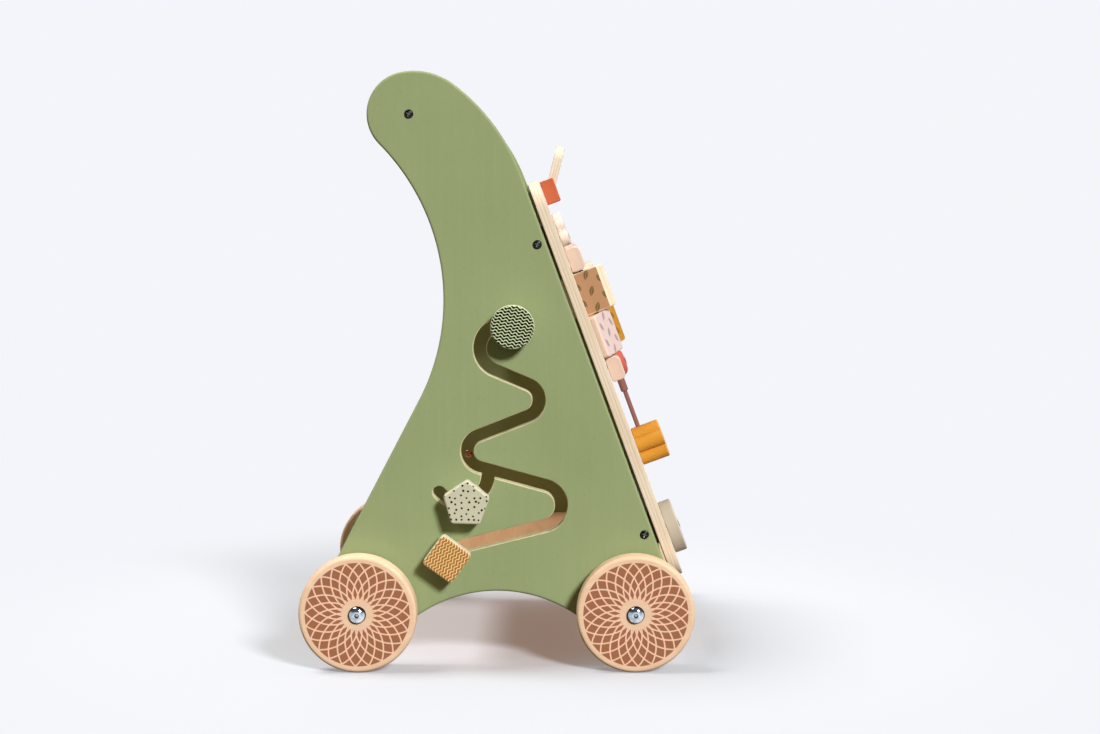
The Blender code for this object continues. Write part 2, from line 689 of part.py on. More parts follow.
round_outline = arc(Vector((0, 0)), ROUND_KNOB_RADIUS, 0, 2 * math.pi)[:-1]
pentagon_outline = regular_polygon(5, PENTAGON_RADIUS, PENTAGON_TURN, PENTAGON_CORNER)
square_outline = regular_polygon(4, SQUARE_SIDE / math.sqrt(2), SQUARE_TURN + math.pi / 4, SQUARE_CORNER)
sliding_knob("round_knob", Vector((LOOP_X, LOOP_Z)), LOOP_RADIUS, LOOP_START,
             round_outline, COLLAR_RADIUS, MINT)
sliding_knob("pentagon_knob", Vector((BRANCH_X, BRANCH_Z)), BRANCH_RADIUS, PENTAGON_REST,
             pentagon_outline, PENTAGON_COLLAR_RADIUS, CREAM)
sliding_knob("square_knob", Vector((TAIL_X, TAIL_Z)), TAIL_RADIUS, SQUARE_REST,
             square_outline, COLLAR_RADIUS, OCHRE)


# Activity board

def column_places():
    return [(-COLUMN_PITCH, "right"), (0.0, "middle"), (COLUMN_PITCH, "left")]


def activity_board():
    half = BOARD_WIDTH / 2
    sheet = rounded_rectangle(0, -half, BOARD_LENGTH, half, BOARD_CORNER)
    reach = math.hypot(TILE_WIDTH, TILE_THICKNESS) / 2 + WINDOW_MARGIN
    start = COLUMN_DOWN + TILE_BRACKET_LENGTH
    windows = [rounded_rectangle(start, y - reach, TILE_RUN_END, y + reach, WINDOW_CORNER)[::-1]
               for y, _ in column_places()]
    mesh = plate("activity_board", [sheet, *windows], BOARD_THICKNESS, BOARD_ROUND)
    board = keep("activity_board", mesh, on_board(0, 0, -BOARD_THICKNESS / 2), PLY)
    for down, across in ((LOBED_DISC_DOWN, LOBED_DISC_Y), (BOTTOM_DISC_DOWN, BOTTOM_DISC_Y),
                         (PENDULUM_DOWN, PENDULUM_Y)):
        depth = PIN_BITE + SEAT_GAP
        bore(board, PIN_RADIUS + SEAT_GAP, 2 * depth, on_board(down, across, 0))


activity_board()


# Peekaboo flap

def across_board(matrix):
    # Turns a z-long piece to lie across the walker.
    return matrix @ Matrix.Rotation(math.pi / 2, 4, "X")


def peekaboo_flap():
    axle = on_board(FLAP_AXLE_DOWN, FLAP_Y, FLAP_AXLE_HEIGHT)
    half = FLAP_WIDTH / 2
    heel = FLAP_THICKNESS / 2
    leaf = rounded_rectangle(-FLAP_LENGTH + heel, -half, heel, half, FLAP_CORNER)
    toe = [point for point in leaf if point.x < 0]
    outline = joined([Vector((heel, -half)), Vector((heel, half))], toe)
    flap = keep("peekaboo_flap", plate("peekaboo_flap", [outline], FLAP_THICKNESS, WOOD_ROUND),
                axle @ Matrix.Rotation(FLAP_TILT, 4, "Y"), PLY)
    bore(flap, FLAP_AXLE_RADIUS + RUN_GAP, 2 * FLAP_WIDTH, across_board(axle))
    span = FLAP_WIDTH + 2 * SIDE_GAP + 2 * FLAP_BRACKET_WIDTH
    keep("flap_axle", rod("flap_axle", FLAP_AXLE_RADIUS, span), across_board(axle), BLACK_STEEL)
    offset = half + SIDE_GAP + FLAP_BRACKET_WIDTH / 2
    size = (FLAP_BRACKET_LENGTH, FLAP_BRACKET_WIDTH, FLAP_BRACKET_HEIGHT)
    for side, hand in ((-1, "right"), (1, "left")):
        name = f"{hand}_flap_bracket"
        centre = on_board(FLAP_AXLE_DOWN, FLAP_Y + side * offset, SEAT_GAP + FLAP_BRACKET_HEIGHT / 2)
        bracket = keep(name, block(name, size, WOOD_ROUND), centre, RED)
        bore(bracket, FLAP_AXLE_RADIUS + SEAT_GAP, 2 * FLAP_BRACKET_WIDTH,
             across_board(on_board(FLAP_AXLE_DOWN, FLAP_Y + side * offset, FLAP_AXLE_HEIGHT)))


peekaboo_flap()


# Discs on pins

def spinner_pin(name, down, across, height, material):
    length = PIN_BITE + height
    mesh = headed_pin(name, PIN_RADIUS, length, PIN_HEAD_RADIUS, PIN_HEAD_HEIGHT)
    keep(name, mesh, on_board(down, across, height), material)


def spinning_discs():
    lobes = petals(LOBED_DISC_LOBES, LOBED_DISC_SPREAD, LOBED_DISC_LOBE)
    mesh = plate("lobed_disc", [lobes], LOBED_DISC_THICKNESS, WOOD_ROUND)
    middle = on_board(LOBED_DISC_DOWN, LOBED_DISC_Y, DISC_LIFT + LOBED_DISC_THICKNESS / 2)
    lobed = keep("lobed_disc", mesh, middle, WOOD)
    bore(lobed, PIN_RADIUS + RUN_GAP, 2 * LOBED_DISC_THICKNESS, middle)
    spinner_pin("lobed_disc_pin", LOBED_DISC_DOWN, LOBED_DISC_Y,
                DISC_LIFT + LOBED_DISC_THICKNESS + RUN_GAP, CHROME)
    disc = disc_with_bore("bottom_disc", BOTTOM_DISC_RADIUS, BOTTOM_DISC_THICKNESS, WOOD_ROUND,
                          PIN_RADIUS + RUN_GAP, 28)
    keep("bottom_disc", disc, on_board(BOTTOM_DISC_DOWN, BOTTOM_DISC_Y, DISC_LIFT), BEIGE)
    spinner_pin("bottom_disc_pin", BOTTOM_DISC_DOWN, BOTTOM_DISC_Y,
                DISC_LIFT + BOTTOM_DISC_THICKNESS + RUN_GAP, CHROME)


spinning_discs()


# Flip tiles

def along_slope(matrix):
    # Turns a z-long piece to lie down the slope.
    return matrix @ Matrix.Rotation(math.pi / 2, 4, "Y")


def tile_bracket(name, down, across, material):
    # A block with its upper corners rounded off, seen from the walker's side.
    half = TILE_BRACKET_LENGTH / 2
    foot = 0.0
    top = TILE_BRACKET_HEIGHT
    crown = rounded_rectangle(-half, foot - top, half, top, TILE_BRACKET_CORNER)
    outline = joined([Vector((-half, foot)), Vector((half, foot))], [p for p in crown if p.y > foot])
    mesh = plate(name, [outline], TILE_BRACKET_WIDTH, BOARD_ROUND)
    bracket = keep(name, mesh, across_board(on_board(down, across, SEAT_GAP)), material)
    bore(bracket, TILE_AXLE_RADIUS + SEAT_GAP, 2 * TILE_BRACKET_LENGTH,
         along_slope(on_board(down, across, TILE_AXLE_HEIGHT)))


def tile_column(across, hand, tilts, paints):
    upper_down = COLUMN_DOWN + TILE_BRACKET_LENGTH / 2
    lower_down = TILE_RUN_END + TILE_BRACKET_LENGTH / 2
    tile_bracket(f"{hand}_upper_tile_bracket", upper_down, across, PINK)
    tile_bracket(f"{hand}_lower_tile_bracket", lower_down, across, PINK)
    middle = on_board((upper_down + lower_down) / 2, across, TILE_AXLE_HEIGHT)
    span = lower_down - upper_down + TILE_BRACKET_LENGTH / 2
    axle_name = f"{hand}_tile_axle"
    keep(axle_name, rod(axle_name, TILE_AXLE_RADIUS, span), along_slope(middle), BLACK_STEEL)
    half = TILE_SIZE / 2
    outline = rounded_rectangle(-half, -TILE_WIDTH / 2, half, TILE_WIDTH / 2, TILE_CORNER)
    for row, (level, tilt, paint) in enumerate(zip(("upper", "lower"), tilts, paints)):
        name = f"{hand}_{level}_tile"
        spot = on_board(FIRST_TILE_DOWN + row * TILE_STEP, across, TILE_AXLE_HEIGHT)
        matrix = spot @ Matrix.Rotation(math.radians(tilt), 4, "X")
        tile = keep(name, plate(name, [outline], TILE_THICKNESS, BOARD_ROUND), matrix, paint)
        bore(tile, TILE_AXLE_RADIUS + RUN_GAP, 2 * TILE_SIZE, along_slope(spot), 12)


for (across, hand), tilts, paints in zip(column_places(), TILE_TILTS, TILE_PAINTS):
    tile_column(across, hand, tilts, paints)


# Pendulum

def pendulum():
    hinge = pivot("pendulum_pivot", on_board(PENDULUM_DOWN, PENDULUM_Y, 0))
    hub_seat = on_board(PENDULUM_DOWN, PENDULUM_Y, SEAT_GAP)
    bulge = HUB_HEIGHT * 0.35
    hub_profile = [(PIN_RADIUS + RUN_GAP, HUB_HEIGHT), *rounded(HUB_RADIUS, HUB_HEIGHT, bulge, 3),
                   *rounded_under(HUB_RADIUS, 0, bulge / 2, 1), (PIN_RADIUS + RUN_GAP, 0)]
    hub = keep("pendulum_hub", turned("pendulum_hub", hub_profile, 20, closed=True), hub_seat, RED, hinge)
    rod_start = HUB_RADIUS - ROD_BITE
    bob_edge = PENDULUM_REACH - BOB_SPREAD - BOB_LOBE
    rod_end = bob_edge + ROD_BITE
    axis = along_slope(on_board(PENDULUM_DOWN, PENDULUM_Y, ROD_HEIGHT))
    collar_start = HUB_RADIUS + SEAT_GAP
    collar_end = collar_start + ROD_COLLAR_LENGTH
    profile = [(0, rod_end), (ROD_RADIUS, rod_end), (ROD_RADIUS, collar_end),
               (ROD_COLLAR_RADIUS, collar_end), (ROD_COLLAR_RADIUS, collar_start),
               (ROD_RADIUS, collar_start), (ROD_RADIUS, rod_start), (0, rod_start)]
    keep("pendulum_rod", turned("pendulum_rod", profile, 16), axis, MAUVE, hinge)
    bob_lift = SEAT_GAP + BOB_THICKNESS / 2
    bob_mesh = plate("pendulum_bob", [petals(BOB_LOBES, BOB_SPREAD, BOB_LOBE)], BOB_THICKNESS, WOOD_ROUND)
    bob = keep("pendulum_bob", bob_mesh,
               on_board(PENDULUM_DOWN + PENDULUM_REACH, PENDULUM_Y, bob_lift), OCHRE, hinge)
    socket = ROD_BITE + SEAT_GAP
    bore(hub, ROD_RADIUS + SEAT_GAP, 2 * socket, axis @ place(0, 0, HUB_RADIUS), 12)
    bore(bob, ROD_RADIUS + SEAT_GAP, 2 * socket, axis @ place(0, 0, bob_edge), 12)
    spinner_pin("pendulum_pivot_screw", PENDULUM_DOWN, PENDULUM_Y, SEAT_GAP + HUB_HEIGHT + RUN_GAP, CHROME)


pendulum()
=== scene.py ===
# Baby push walker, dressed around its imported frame: painted panels, printed wheels and knobs, flip tiles.
# Metres, +Z up. +X is the walking direction, and the camera looks along +Y at the panel with the track.
import json
import math

import bpy
import numpy as np
from mathutils.geometry import delaunay_2d_cdt
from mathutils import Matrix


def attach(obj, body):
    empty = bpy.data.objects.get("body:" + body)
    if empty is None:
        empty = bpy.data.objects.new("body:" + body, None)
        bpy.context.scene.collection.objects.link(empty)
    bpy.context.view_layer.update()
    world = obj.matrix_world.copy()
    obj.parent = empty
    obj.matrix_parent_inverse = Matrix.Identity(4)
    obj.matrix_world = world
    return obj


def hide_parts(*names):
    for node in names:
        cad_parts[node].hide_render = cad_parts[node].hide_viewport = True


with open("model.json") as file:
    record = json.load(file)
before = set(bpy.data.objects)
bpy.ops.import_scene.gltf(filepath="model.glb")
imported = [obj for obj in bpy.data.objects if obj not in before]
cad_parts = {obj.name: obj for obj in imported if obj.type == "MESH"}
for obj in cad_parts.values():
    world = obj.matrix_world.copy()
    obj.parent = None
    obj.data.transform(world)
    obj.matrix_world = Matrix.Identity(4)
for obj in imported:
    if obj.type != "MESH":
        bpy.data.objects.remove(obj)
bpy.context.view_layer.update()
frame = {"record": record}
scene = bpy.context.scene
bodyOf = {node: body for body, nodes in frame["record"]["behaviour"]["bodies"].items() for node in nodes}

quarter, wholeTurn = math.pi / 2, 2 * math.pi


class Sizes(dict):
    # a dictionary whose entries are also read as attributes
    __getattr__ = dict.__getitem__


fits = Sizes(seat=0.0003, run=0.0004)
chassis = Sizes(
    innerHalf=0.127, panelThick=0.012, wheelBase=0.235, wheelRadius=0.050,
    footRadius=0.0376, frontLean=math.radians(20.3), backLean=math.radians(27.6),
    handleReach=0.460, handleSetback=0.0704,
)
board = Sizes(
    length=0.361, start=0.0105, thick=0.0095, width=0.276, corner=0.025, edge=0.0012,
    spare=0.0005, railProud=0.002, columnPitch=0.088, windowCorner=0.003,
)


# Places and directions

def moved(x, y, z):
    matrix = np.eye(4)
    matrix[:3, 3] = x, y, z
    return matrix


def turned(axis, angle):
    # a turn about one axis, counter-clockwise seen from its tip
    matrix = np.eye(4)
    a, b = {"X": (1, 2), "Y": (2, 0)}[axis]
    matrix[a, a] = matrix[b, b] = math.cos(angle)
    matrix[b, a] = math.sin(angle)
    matrix[a, b] = -math.sin(angle)
    return matrix


def polar(angle, length=1.0):
    return np.stack([np.cos(angle), np.sin(angle)], -1) * np.asarray(length)[..., None]


def around(count):
    # even angles of a whole turn
    return np.arange(count) * wholeTurn / count


def heading(vector):
    return math.atan2(vector[1], vector[0])


frontNormal = polar(chassis.frontLean)
upSlope = polar(chassis.frontLean + quarter)
backNormal = polar(math.pi - chassis.backLean)
upBack = polar(quarter - chassis.backLean)
rearAxle = np.array([-chassis.wheelBase / 2, chassis.wheelRadius])
frontAxle = np.array([chassis.wheelBase / 2, chassis.wheelRadius])
frontFoot = frontAxle + chassis.footRadius * frontNormal
rearFoot = rearAxle + chassis.footRadius * backNormal
handleSpot = frontFoot + chassis.handleReach * upSlope - chassis.handleSetback * frontNormal
boardFace = board.railProud + fits.seat + board.thick
boardTop = frontFoot + (board.start + board.length) * upSlope + boardFace * frontNormal
boardFrame = moved(boardTop[0], 0, boardTop[1]) @ turned("Y", quarter - chassis.frontLean)
panelOuter = chassis.innerHalf + chassis.panelThick
span = 2 * (chassis.innerHalf - fits.seat)
hands = ((-1, "right"), (1, "left"))


def facingOut(side, x, z, y):
    # local z points out of a side panel; side is -1 on the right and +1 on the left
    return moved(x, side * y, z) @ turned("X", -side * quarter)


def onBoard(down, across, height):
    # x runs down the slope, y across the walker, z out of the board's front
    return boardFrame @ moved(down, across, height)


# Outlines as arrays of points

def arc(centre, radius, start, end, steps=64):
    # even angles round a centre
    return np.asarray(centre) + polar(np.linspace(start, end, steps), radius)


def evenly(points, count, closed=True):
    # a line walked in even steps of its own length
    loop = np.vstack([points, points[:1]]) if closed else points
    run = np.concatenate([[0], np.cumsum(np.hypot(*np.diff(loop, axis=0).T))])
    at = np.linspace(0, run[-1], count, endpoint=not closed)
    return np.stack([np.interp(at, run, loop[:, 0]), np.interp(at, run, loop[:, 1])], -1)


def outwards(outline):
    # mitred normals of a counter-clockwise outline: both edges' normals added, over one plus their product
    step = np.roll(outline, -1, 0) - outline
    step = step / np.linalg.norm(step, axis=1, keepdims=True)
    after = np.stack([step[:, 1], -step[:, 0]], -1)
    before = np.roll(after, 1, 0)
    return (after + before) / (1 + (after * before).sum(1, keepdims=True))


def roundedPolygon(corners, radii, count=240):
    # an arc at each corner, tangent to both of its sides, walked evenly
    corners = np.asarray(corners, float)
    radii = np.broadcast_to(radii, len(corners))
    neighbours = zip(np.roll(corners, 1, 0), corners, np.roll(corners, -1, 0), radii)
    runs = []
    for last, corner, following, radius in neighbours:
        before = (last - corner) / np.linalg.norm(last - corner)
        after = (following - corner) / np.linalg.norm(following - corner)
        half = math.acos(before @ after) / 2
        middle = (before + after) / np.linalg.norm(before + after)
        start = heading((-before[1], before[0]))
        centre = corner + middle * radius / math.sin(half)
        runs.append(arc(centre, radius, start, start + math.pi - 2 * half, 24))
    return evenly(np.vstack(runs), count)


def roundedBox(lowX, lowY, highX, highY, radii, count=240):
    return roundedPolygon([(highX, highY), (lowX, highY), (lowX, lowY), (highX, lowY)], radii, count)


def petals(lobes, spread, lobe, count=320, ease=4):
    # along each ray the farthest round lobe counts; averaging neighbours eases the creases
    angle = around(count)
    off = angle[:, None] - (np.pi + around(lobes))
    under = np.maximum(lobe**2 - (spread * np.sin(off))**2, 0)
    reach = np.where(under > 0, spread * np.cos(off) + np.sqrt(under), 0).max(1)
    for _ in range(ease):
        reach = (np.roll(reach, 1) + 2 * reach + np.roll(reach, -1)) / 4
    return polar(angle, reach)


def within(points, loop):
    # even-odd rule: count the loop's edges that pass to the right of each point
    nextPoint = np.roll(loop, -1, 0)
    x, y = points[:, None, 0], points[:, None, 1]
    rise = nextPoint[:, 1] - loop[:, 1]
    at = loop[:, 0] + (y - loop[:, 1]) * (nextPoint[:, 0] - loop[:, 0]) / np.where(rise == 0, 1e-12, rise)
    return (((loop[:, 1] > y) != (nextPoint[:, 1] > y)) & (x < at)).sum(1) % 2 == 1


# Rings stacked from the top down, each counter-clockwise seen from above

def easedProfile(low, high, edge, steps=5, brace=0.0006):
    # rows of (inset, height, wear): a quarter round over each edge, and a brace row that keeps the flat flat
    a = np.linspace(0, quarter, steps + 1)
    rows = np.stack([edge * (1 - np.sin(a)), edge * (1 - np.cos(a)), np.sin(2 * a)], -1)
    rows = np.vstack([[[edge + brace, 0, 0]], rows, [[0, edge + brace, 0]]])
    return np.vstack([rows * [1, -1, 1] + [0, high, 0], rows[::-1] + [0, low, 0]])


def turnedProfile(radius, *sizes):
    # an eased profile about an axis: its insets become rows of radius
    return easedProfile(*sizes) * [-1, 1, 1] + [radius, 0, 0]


def lifted(flat, heights):
    # each flat ring at its own height
    return np.concatenate([flat, np.broadcast_to(heights[:, None, None], flat.shape[:2] + (1,))], -1)


def outlineRings(outline, profile):
    # the outline drawn in by each row's inset, at that row's height
    return lifted(outline - profile[:, 0, None, None] * outwards(outline), profile[:, 1])


def stackFaces(levels, count, wrap=False):
    level, i = np.meshgrid(np.arange(levels if wrap else levels - 1), np.arange(count), indexing="ij")
    below, beside = (level + 1) % levels, (i + 1) % count
    quads = (level * count + i, below * count + i, below * count + beside, level * count + beside)
    return np.stack(quads, -1).reshape(-1, 4)


def linked(name, data):
    made = bpy.data.objects.new(name, data)
    scene.collection.objects.link(made)
    return made


def addPiece(node, local, faces, wear, placement, look, sharp=35):
    # the mesh is kept in the frame's place, and each vertex also keeps its place on the piece and its wear
    # and painted shading
    first, *rest = node.split("_")
    name = first + "".join(word.title() for word in rest)
    mesh = bpy.data.meshes.new(name)
    mesh.from_pydata(local @ placement[:3, :3].T + placement[:3, 3], [], faces)
    attributes = ("local", "FLOAT_VECTOR", "vector", local), ("wear", "FLOAT", "value", wear)
    for label, kind, key, values in attributes:
        data = mesh.attributes.new(label, kind, "POINT").data
        data.foreach_set(key, np.asarray(values, np.float32).ravel())
    mesh.shade_smooth()
    mesh.set_sharp_from_angle(angle=math.radians(sharp))
    material, slot = looks[look]
    mesh.materials.append(material)
    piece = linked(name, mesh)
    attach(piece, bodyOf.get(node, "frame"))
    if node in bodyOf:
        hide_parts(node)


def stackPiece(node, rings, wear, placement, look, bored=False, sharp=35):
    # rings joined level by level; a bored piece joins its last ring to its first, others close with two poles
    levels, count = rings.shape[:2]
    points = rings.reshape(-1, 3)
    pointWearAndShading = np.repeat(wear, count)
    faces = stackFaces(levels, count, bored).tolist()
    if not bored:
        i = np.arange(count)
        j = (i + 1) % count
        last = (levels - 1) * count
        top = np.stack([np.full(count, levels * count), i, j], -1)
        bottom = np.stack([np.full(count, levels * count + 1), last + j, last + i], -1)
        points = np.vstack([points, rings[0].mean(0), rings[-1].mean(0)])
        pointWearAndShading = np.append(pointWearAndShading, [0, 0])
        faces += top.tolist() + bottom.tolist()
    addPiece(node, points, faces, pointWearAndShading, placement, look, sharp)


def platePiece(node, outline, low, high, edge, placement, look):
    profile = easedProfile(low, high, edge)
    stackPiece(node, outlineRings(outline, profile), profile[:, 2], placement, look)


def turnedPiece(node, profile, sides, placement, look, bored=False):
    # rows of (radius, height, wear) turned about z
    rings = lifted(profile[:, 0, None, None] * polar(around(sides)), profile[:, 1])
    stackPiece(node, rings, profile[:, 2], placement, look, bored)


def thinRod(node, radius, half, placement, look, edge=0.0003):
    turnedPiece(node, turnedProfile(radius, -half, half, edge, 2, edge), 48, placement, look)


def boredDisc(node, radius, thick, edge, bore, placement, look, sides=128, steps=5):
    # a disc from z = 0 up, its bore's mouths eased by a small lip
    lip, lipWear = 0.0004, 0.3
    mouth = np.array([[bore, thick - lip, 0], [bore + lip, thick, lipWear]])
    profile = turnedProfile(radius, 0, thick, edge, steps)
    profile = np.vstack([mouth, profile, mouth[::-1] * [1, -1, 1] + [0, thick, 0]])
    turnedPiece(node, profile, sides, placement, look, bored=True)


def sheetPiece(node, outline, holes, profile, holeProfile, placement, look):
    # sides are stacks of rings round the outline and the holes; Delaunay triangles between them are the flats
    stacks = [outlineRings(outline, profile)]
    stacks += [outlineRings(hole, holeProfile * [-1, 1, 1])[:, ::-1] for hole in holes]
    faces, edges, topIds, lowIds, start, first = [], [], [], [], 0, 0
    for rings in stacks:
        levels, count = rings.shape[:2]
        i = np.arange(count)
        faces += (stackFaces(levels, count) + start).tolist()
        edges += (first + np.stack([i, np.roll(i, -1)], -1)).tolist()
        topIds.append(start + i)
        lowIds.append(start + (levels - 1) * count + i)
        start, first = start + levels * count, first + count
    topIds, lowIds = np.concatenate(topIds), np.concatenate(lowIds)
    flat = np.vstack([rings[0, :, :2] for rings in stacks])
    made = delaunay_2d_cdt(flat.tolist(), edges, [], 1, 1e-9)
    given = np.array([ids[0] for ids in made[3]])
    tris = given[np.array(made[2])]
    for rings in stacks[1:]:
        tris = tris[~within(flat[tris].mean(1), rings[0, :, :2])]
    corners = flat[tris]
    ab, ac = corners[:, 1] - corners[:, 0], corners[:, 2] - corners[:, 0]
    area = ab[:, 0] * ac[:, 1] - ab[:, 1] * ac[:, 0]
    tris = np.where((area < 0)[:, None], tris[:, ::-1], tris)
    faces += topIds[tris].tolist() + lowIds[tris[:, ::-1]].tolist()
    points = np.vstack([rings.reshape(-1, 3) for rings in stacks])
    wears = [profile[:, 2]] + [holeProfile[:, 2]] * len(holes)
    pointWearAndShading = np.concatenate([np.repeat(wear, rings.shape[1]) for wear, rings in zip(wears, stacks)])
    addPiece(node, points, faces, pointWearAndShading, placement, look)


# Shader values written as plain sums

def tone(red, green, blue):
    # colours are noted as 0-255 screen values
    share = np.array([red, green, blue]) / 255
    return (*np.where(share <= 0.04045, share / 12.92, ((share + 0.055) / 1.055)**2.4), 1.0)


def put(tree, kind, sockets=None, **settings):
    node = tree.nodes.new(kind)
    for key, value in settings.items():
        setattr(node, key, value)
    for key, value in (sockets or {}).items():
        if isinstance(value, Field):
            value = value.socket
        if isinstance(value, bpy.types.NodeSocket):
            tree.links.new(value, node.inputs[key])
        else:
            node.inputs[key].default_value = value
    return node


class Field:
    # a number that changes over the surface

    def __init__(self, socket):
        self.socket = socket
        self.tree = socket.id_data

    def work(self, operation, *others):
        node = put(self.tree, "ShaderNodeMath", dict(enumerate((self, *others))), operation=operation)
        return Field(node.outputs[0])

    def __add__(self, other):
        return self.work("ADD", other)

    def __sub__(self, other):
        return self.work("SUBTRACT", other)

    def __mul__(self, other):
        return self.work("MULTIPLY", other)

    def __truediv__(self, other):
        return self.work("DIVIDE", other)

    __radd__ = __add__
    __rmul__ = __mul__

    def __rsub__(self, other):
        return (self * -1) + other

    def size(self):
        return self.work("ABSOLUTE")

    def fromMiddle(self, pitch):
        # distance from the nearest whole step, with its sign
        return (self / pitch + 0.5).work("FRACT") * pitch - pitch / 2

    def ramp(self, low, high):
        # 0 below low, 1 above high, smooth between
        values = {"Value": self, "From Min": low, "From Max": high}
        node = put(self.tree, "ShaderNodeMapRange", values, interpolation_type="SMOOTHSTEP")
        return Field(node.outputs["Result"])

    def above(self, edge, soft):
        return self.ramp(edge - soft, edge + soft)

    def below(self, edge, soft):
        return 1 - self.above(edge, soft)


def axes(place):
    split = put(place.id_data, "ShaderNodeSeparateXYZ", {0: place})
    return [Field(split.outputs[i]) for i in range(3)]


def remapped(place, **values):
    return put(place.id_data, "ShaderNodeMapping", {"Vector": place, **values}).outputs[0]


def noise(place, scale, stretch=(1, 1, 1), detail=2.0, rough=0.5):
    # clouds of value, stretched along an axis where its factor is small
    values = {"Vector": remapped(place, Scale=stretch), "Scale": scale, "Detail": detail, "Roughness": rough}
    return Field(put(place.id_data, "ShaderNodeTexNoise", values).outputs[0])


def mixed(share, first, second):
    return put(share.tree, "ShaderNodeMix", {0: share, 6: first, 7: second}, data_type="RGBA").outputs[2]


# Coats shared by the finishes

def newGroup(name, **inputs):
    tree = bpy.data.node_groups.new(name, "ShaderNodeTree")
    outputs = {"Colour": "Color", "Roughness": "Float", "Height": "Float"}
    for way, sockets in (("INPUT", inputs), ("OUTPUT", outputs)):
        for label, kind in sockets.items():
            tree.interface.new_socket(label, in_out=way, socket_type="NodeSocket" + kind)
    return tree, tree.nodes.new("NodeGroupInput").outputs, tree.nodes.new("NodeGroupOutput").inputs


def paintCoat():
    # satin paint on wood: slow drift, faint grain under it, fine stipple, and a paler line where edges wear
    tree, given, out = newGroup("paintCoat", Place="Vector", Base="Color", Second="Color", Wear="Float",
                                Grain="Float")
    place, wear, grain = given["Place"], Field(given["Wear"]), Field(given["Grain"])
    drift = noise(place, 14, detail=3)
    fibre = noise(place, 260, (0.05, 1, 1), detail=3)
    stipple = noise(place, 1500, detail=1)
    speck = noise(place, 420, detail=0).ramp(0.74, 0.80)
    light = 1 + (drift - 0.5) * 0.12 + (fibre - 0.5) * grain * 0.16 + (stipple - 0.5) * 0.05 - speck * 0.05
    lit = put(tree, "ShaderNodeVectorMath", {0: given["Base"], "Scale": light}, operation="SCALE").outputs[0]
    rubbed = (wear + (noise(place, 95, detail=3) - 0.5) * 1.1).ramp(0.35, 1.05) * 0.75
    rough = 0.46 + (drift - 0.5) * 0.16 + (stipple - 0.5) * 0.14 + rubbed * 0.08
    tree.links.new(mixed(rubbed, lit, given["Second"]), out["Colour"])
    tree.links.new(rough.socket, out["Roughness"])
    tree.links.new((fibre * grain + stipple * 0.35).socket, out["Height"])
    return tree


def woodGrain():
    # bare wood: growth bands wander along the grain, with fine fibres and short dark pores
    tree, given, out = newGroup("woodGrain", Place="Vector", Base="Color", Second="Color", Wear="Float")
    place, wear = given["Place"], Field(given["Wear"])
    band = (noise(place, 22, (0.14, 1, 1), detail=2) * 42).work("SINE") * 0.5 + 0.5
    fibre = noise(place, 700, (0.03, 1, 1), detail=4, rough=0.6)
    pore = noise(place, 1300, (0.05, 1, 1), detail=1).ramp(0.66, 0.76)
    drift = noise(place, 12, detail=2)
    dark = band * 0.24 + (fibre - 0.35) * 0.75 + (drift - 0.5) * 0.35 + pore * 0.22 + wear * 0.10
    tree.links.new(mixed(dark.ramp(-0.15, 1.15), given["Base"], given["Second"]), out["Colour"])
    tree.links.new((0.52 + (fibre - 0.5) * 0.25 + pore * 0.1).socket, out["Roughness"])
    tree.links.new((fibre - pore * 0.6).socket, out["Height"])
    return tree


# matt paint mirrors less than oiled wood
coats = {
    "paint": {"group": paintCoat(), "gloss": 0.12, "relief": 0.00008},
    "wood": {"group": woodGrain(), "gloss": 0.3, "relief": 0.00010},
}
print("shared coats:", len(coats))

looks = {}


def newMaterial(name, slot):
    # a look is a material and the slot that it goes by; its shader reads the place attribute and the one for
    # wear and painted shading
    material = bpy.data.materials.new(name)
    looks[name] = material, slot
    material.use_nodes = True
    tree = material.node_tree
    place = put(tree, "ShaderNodeAttribute", attribute_name="local").outputs["Vector"]
    wear = put(tree, "ShaderNodeAttribute", attribute_name="wear").outputs["Fac"]
    return tree.nodes["Principled BSDF"], place, wear


def dress(shader, colour, roughness, height, relief):
    # the finish's colour, roughness and relief go into the shader
    tree = shader.id_data
    bump = put(tree, "ShaderNodeBump", {"Height": height, "Strength": 1.0, "Distance": relief})
    for socket, key in (colour, "Base Color"), (roughness, "Roughness"), (bump.outputs[0], "Normal"):
        tree.links.new(socket, shader.inputs[key])


def finish(name, slot, kind, base, second, grain=0.5, turn=(0, 0, 0), relief=None, marks=None):
    # a coat in a piece's own colours; base may change with the place, and marks are drawn over the coat
    shader, place, wear = newMaterial(name, slot)
    values = {"Place": remapped(place, Rotation=turn), "Wear": wear, "Second": tone(*second)}
    values["Base"] = base(place) if callable(base) else tone(*base)
    if kind == "paint":
        values["Grain"] = grain
    coat = put(place.id_data, "ShaderNodeGroup", values, node_tree=coats[kind]["group"]).outputs
    colour = marks(place, coat["Colour"]) if marks else coat["Colour"]
    shader.inputs["Specular IOR Level"].default_value = coats[kind]["gloss"]
    dress(shader, colour, coat["Roughness"], coat["Height"], relief or coats[kind]["relief"])


def metal(name, slot, bright, dull, accent, rough):
    # turned metal: patches of polish, fine rings, and an accent colour on marked rims, recesses and worn
    # edges: painted shade on chrome, a painted highlight on bronze, paler on black steel
    shader, place, wear = newMaterial(name, slot)
    smear = noise(place, 240, detail=3)
    rings = noise(place, 2600, (0.2, 1, 1), detail=1)
    polish = noise(place, 160, detail=1).ramp(0.35, 0.65)
    colour = mixed(Field(wear), mixed(polish, tone(*dull), tone(*bright)), tone(*accent))
    shader.inputs["Metallic"].default_value = 1.0
    dress(shader, colour, (rough + (smear - 0.5) * rough * 0.7).socket, rings, 0.000004)


